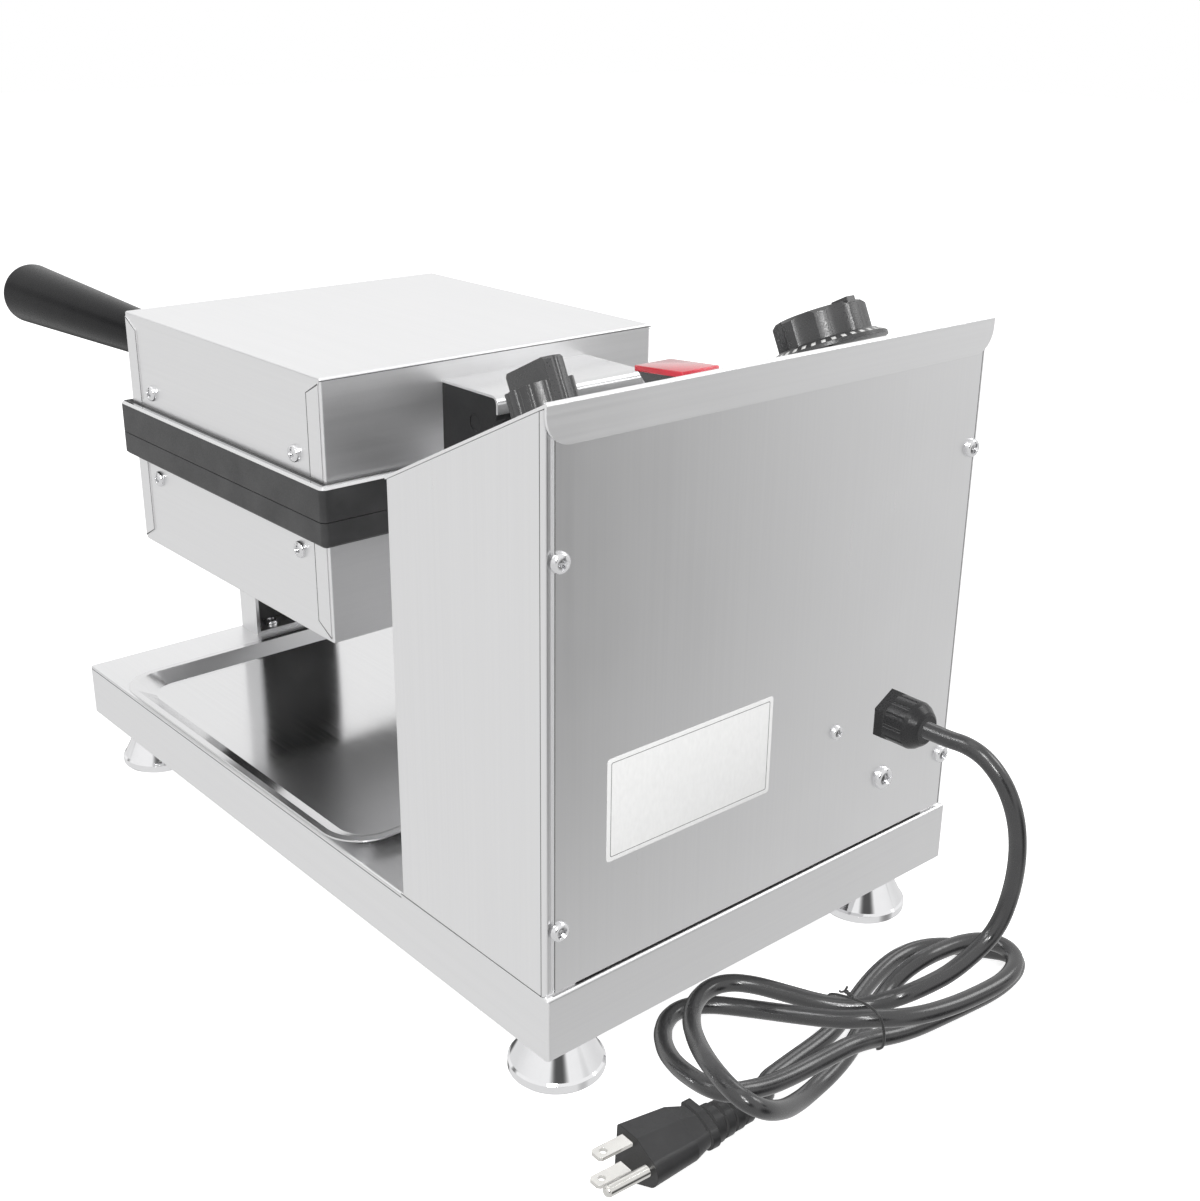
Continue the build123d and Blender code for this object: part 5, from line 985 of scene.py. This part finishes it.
def make_camera():
    """The camera at the photograph's place and angle."""
    heading = Vector((-math.sin(CAMERA_YAW), -math.cos(CAMERA_YAW), 0))
    forward = heading * math.cos(CAMERA_PITCH) - Vector((0, 0, 1)) * math.sin(CAMERA_PITCH)
    right = forward.cross(Vector((0, 0, 1))).normalized()
    up = right.cross(forward)
    c = math.cos(CAMERA_ROLL)
    s = math.sin(CAMERA_ROLL)
    across = right * c + up * s
    upward = up * c - right * s
    data = bpy.data.cameras.new("camera")
    data.sensor_width = SENSOR
    data.sensor_fit = "HORIZONTAL"
    data.lens = FOCAL_PIXELS / IMAGE_WIDTH * SENSOR
    data.clip_start = 0.01
    camera = new_object("camera", data)
    turn = Matrix((across, upward, -forward)).transposed().to_4x4()
    camera.matrix_world = Matrix.Translation(CAMERA_AT) @ turn
    bpy.context.scene.camera = camera


def make_floor():
    """A plain pale floor that keeps a faint shadow and is white where the camera looks."""
    data = bpy.data.meshes.new("floor")
    corners = [(x * FLOOR_REACH, y * FLOOR_REACH, 0) for x, y in ((-1, -1), (1, -1), (1, 1), (-1, 1))]
    data.from_pydata(corners, [], [(0, 1, 2, 3)])
    floor = new_object("floor", data)
    floor.location.z = -FLOOR_DROP
    material = bpy.data.materials.new("floor")
    material.use_nodes = True
    tree = material.node_tree
    tree.nodes.clear()
    add = adder(tree)
    out = add("ShaderNodeOutputMaterial")
    base = add("ShaderNodeBsdfDiffuse", Color=(FLOOR_SHADE, FLOOR_SHADE, FLOOR_SHADE, 1))
    glow = add("ShaderNodeEmission")
    path = add("ShaderNodeLightPath")
    level = add("ShaderNodeMath", operation="MULTIPLY")
    level.inputs[1].default_value = FLOOR_GLOW
    both = add("ShaderNodeAddShader")
    tree.links.new(path.outputs["Is Camera Ray"], level.inputs[0])
    tree.links.new(level.outputs["Value"], glow.inputs["Strength"])
    tree.links.new(base.outputs["BSDF"], both.inputs[0])
    tree.links.new(glow.outputs["Emission"], both.inputs[1])
    tree.links.new(both.outputs["Shader"], out.inputs["Surface"])
    data.materials.append(material)
    floor.visible_glossy = False


def make_world():
    """White behind the object; a soft studio with dark patches for gloss; plain light for the rest."""
    world = bpy.data.worlds.new("studio")
    bpy.context.scene.world = world
    world.use_nodes = True
    tree = world.node_tree
    tree.nodes.clear()
    add = adder(tree)
    link = tree.links.new
    out = add("ShaderNodeOutputWorld")
    back = add("ShaderNodeBackground", Color=(1, 1, 1, 1))
    coords = add("ShaderNodeTexCoord")
    path = add("ShaderNodeLightPath")

    def patch(direction, wide, full, low, shape="SMOOTHSTEP"):
        dot = add("ShaderNodeVectorMath", operation="DOT_PRODUCT")
        link(coords.outputs["Generated"], dot.inputs[0])
        dot.inputs[1].default_value = Vector(direction).normalized()
        start, end = (math.cos(math.radians(angle)) for angle in (wide, full))
        return map_range(tree, add, dot.outputs["Value"], start, end, 1.0, low, shape)

    height = add("ShaderNodeSeparateXYZ")
    link(coords.outputs["Generated"], height.inputs["Vector"])
    gloss = map_range(tree, add, height.outputs["Z"], *SKY_HEIGHT, *SKY_LEVEL, "SMOOTHSTEP")
    for values in DARK_PATCHES:
        darker = add("ShaderNodeMath", operation="MULTIPLY")
        link(gloss, darker.inputs[0])
        link(patch(*values), darker.inputs[1])
        gloss = darker.outputs["Value"]
    shiny = add("ShaderNodeMath", operation="MAXIMUM")
    link(path.outputs["Is Glossy Ray"], shiny.inputs[0])
    link(path.outputs["Is Transmission Ray"], shiny.inputs[1])
    level = add("ShaderNodeMix", data_type="FLOAT")
    level.inputs["A"].default_value = PLAIN_LIGHT
    link(shiny.outputs["Value"], level.inputs["Factor"])
    link(gloss, level.inputs["B"])
    seen = add("ShaderNodeMix", data_type="FLOAT")
    seen.inputs["B"].default_value = 1.0
    link(path.outputs["Is Camera Ray"], seen.inputs["Factor"])
    link(level.outputs["Result"], seen.inputs["A"])
    link(seen.outputs["Result"], back.inputs["Strength"])
    link(back.outputs["Background"], out.inputs["Surface"])


def make_lamp(name, at, size, power):
    """A soft square lamp that looks at the middle of the object."""
    data = bpy.data.lights.new(name, "AREA")
    data.shape = "SQUARE"
    data.size = size
    data.energy = power
    lamp = new_object(name, data)
    lamp.location = at
    lamp.rotation_euler = (LAMP_TARGET - lamp.location).to_track_quat("-Z", "Y").to_euler()


make_cord()
make_label()
make_screws()
make_dial_marks()
make_rocker()
make_hinge_sheet()
make_plate_trim()
make_shadow_lines()
make_housing_shadow_lines()
make_post_shade_sheet()
make_camera()
make_floor()
make_world()
for name, values in LAMPS.items():
    make_lamp(name, *values)
for name in NOT_MIRRORED:
    bpy.data.objects[name].visible_glossy = False
bpy.context.scene.view_settings.view_transform = "Standard"
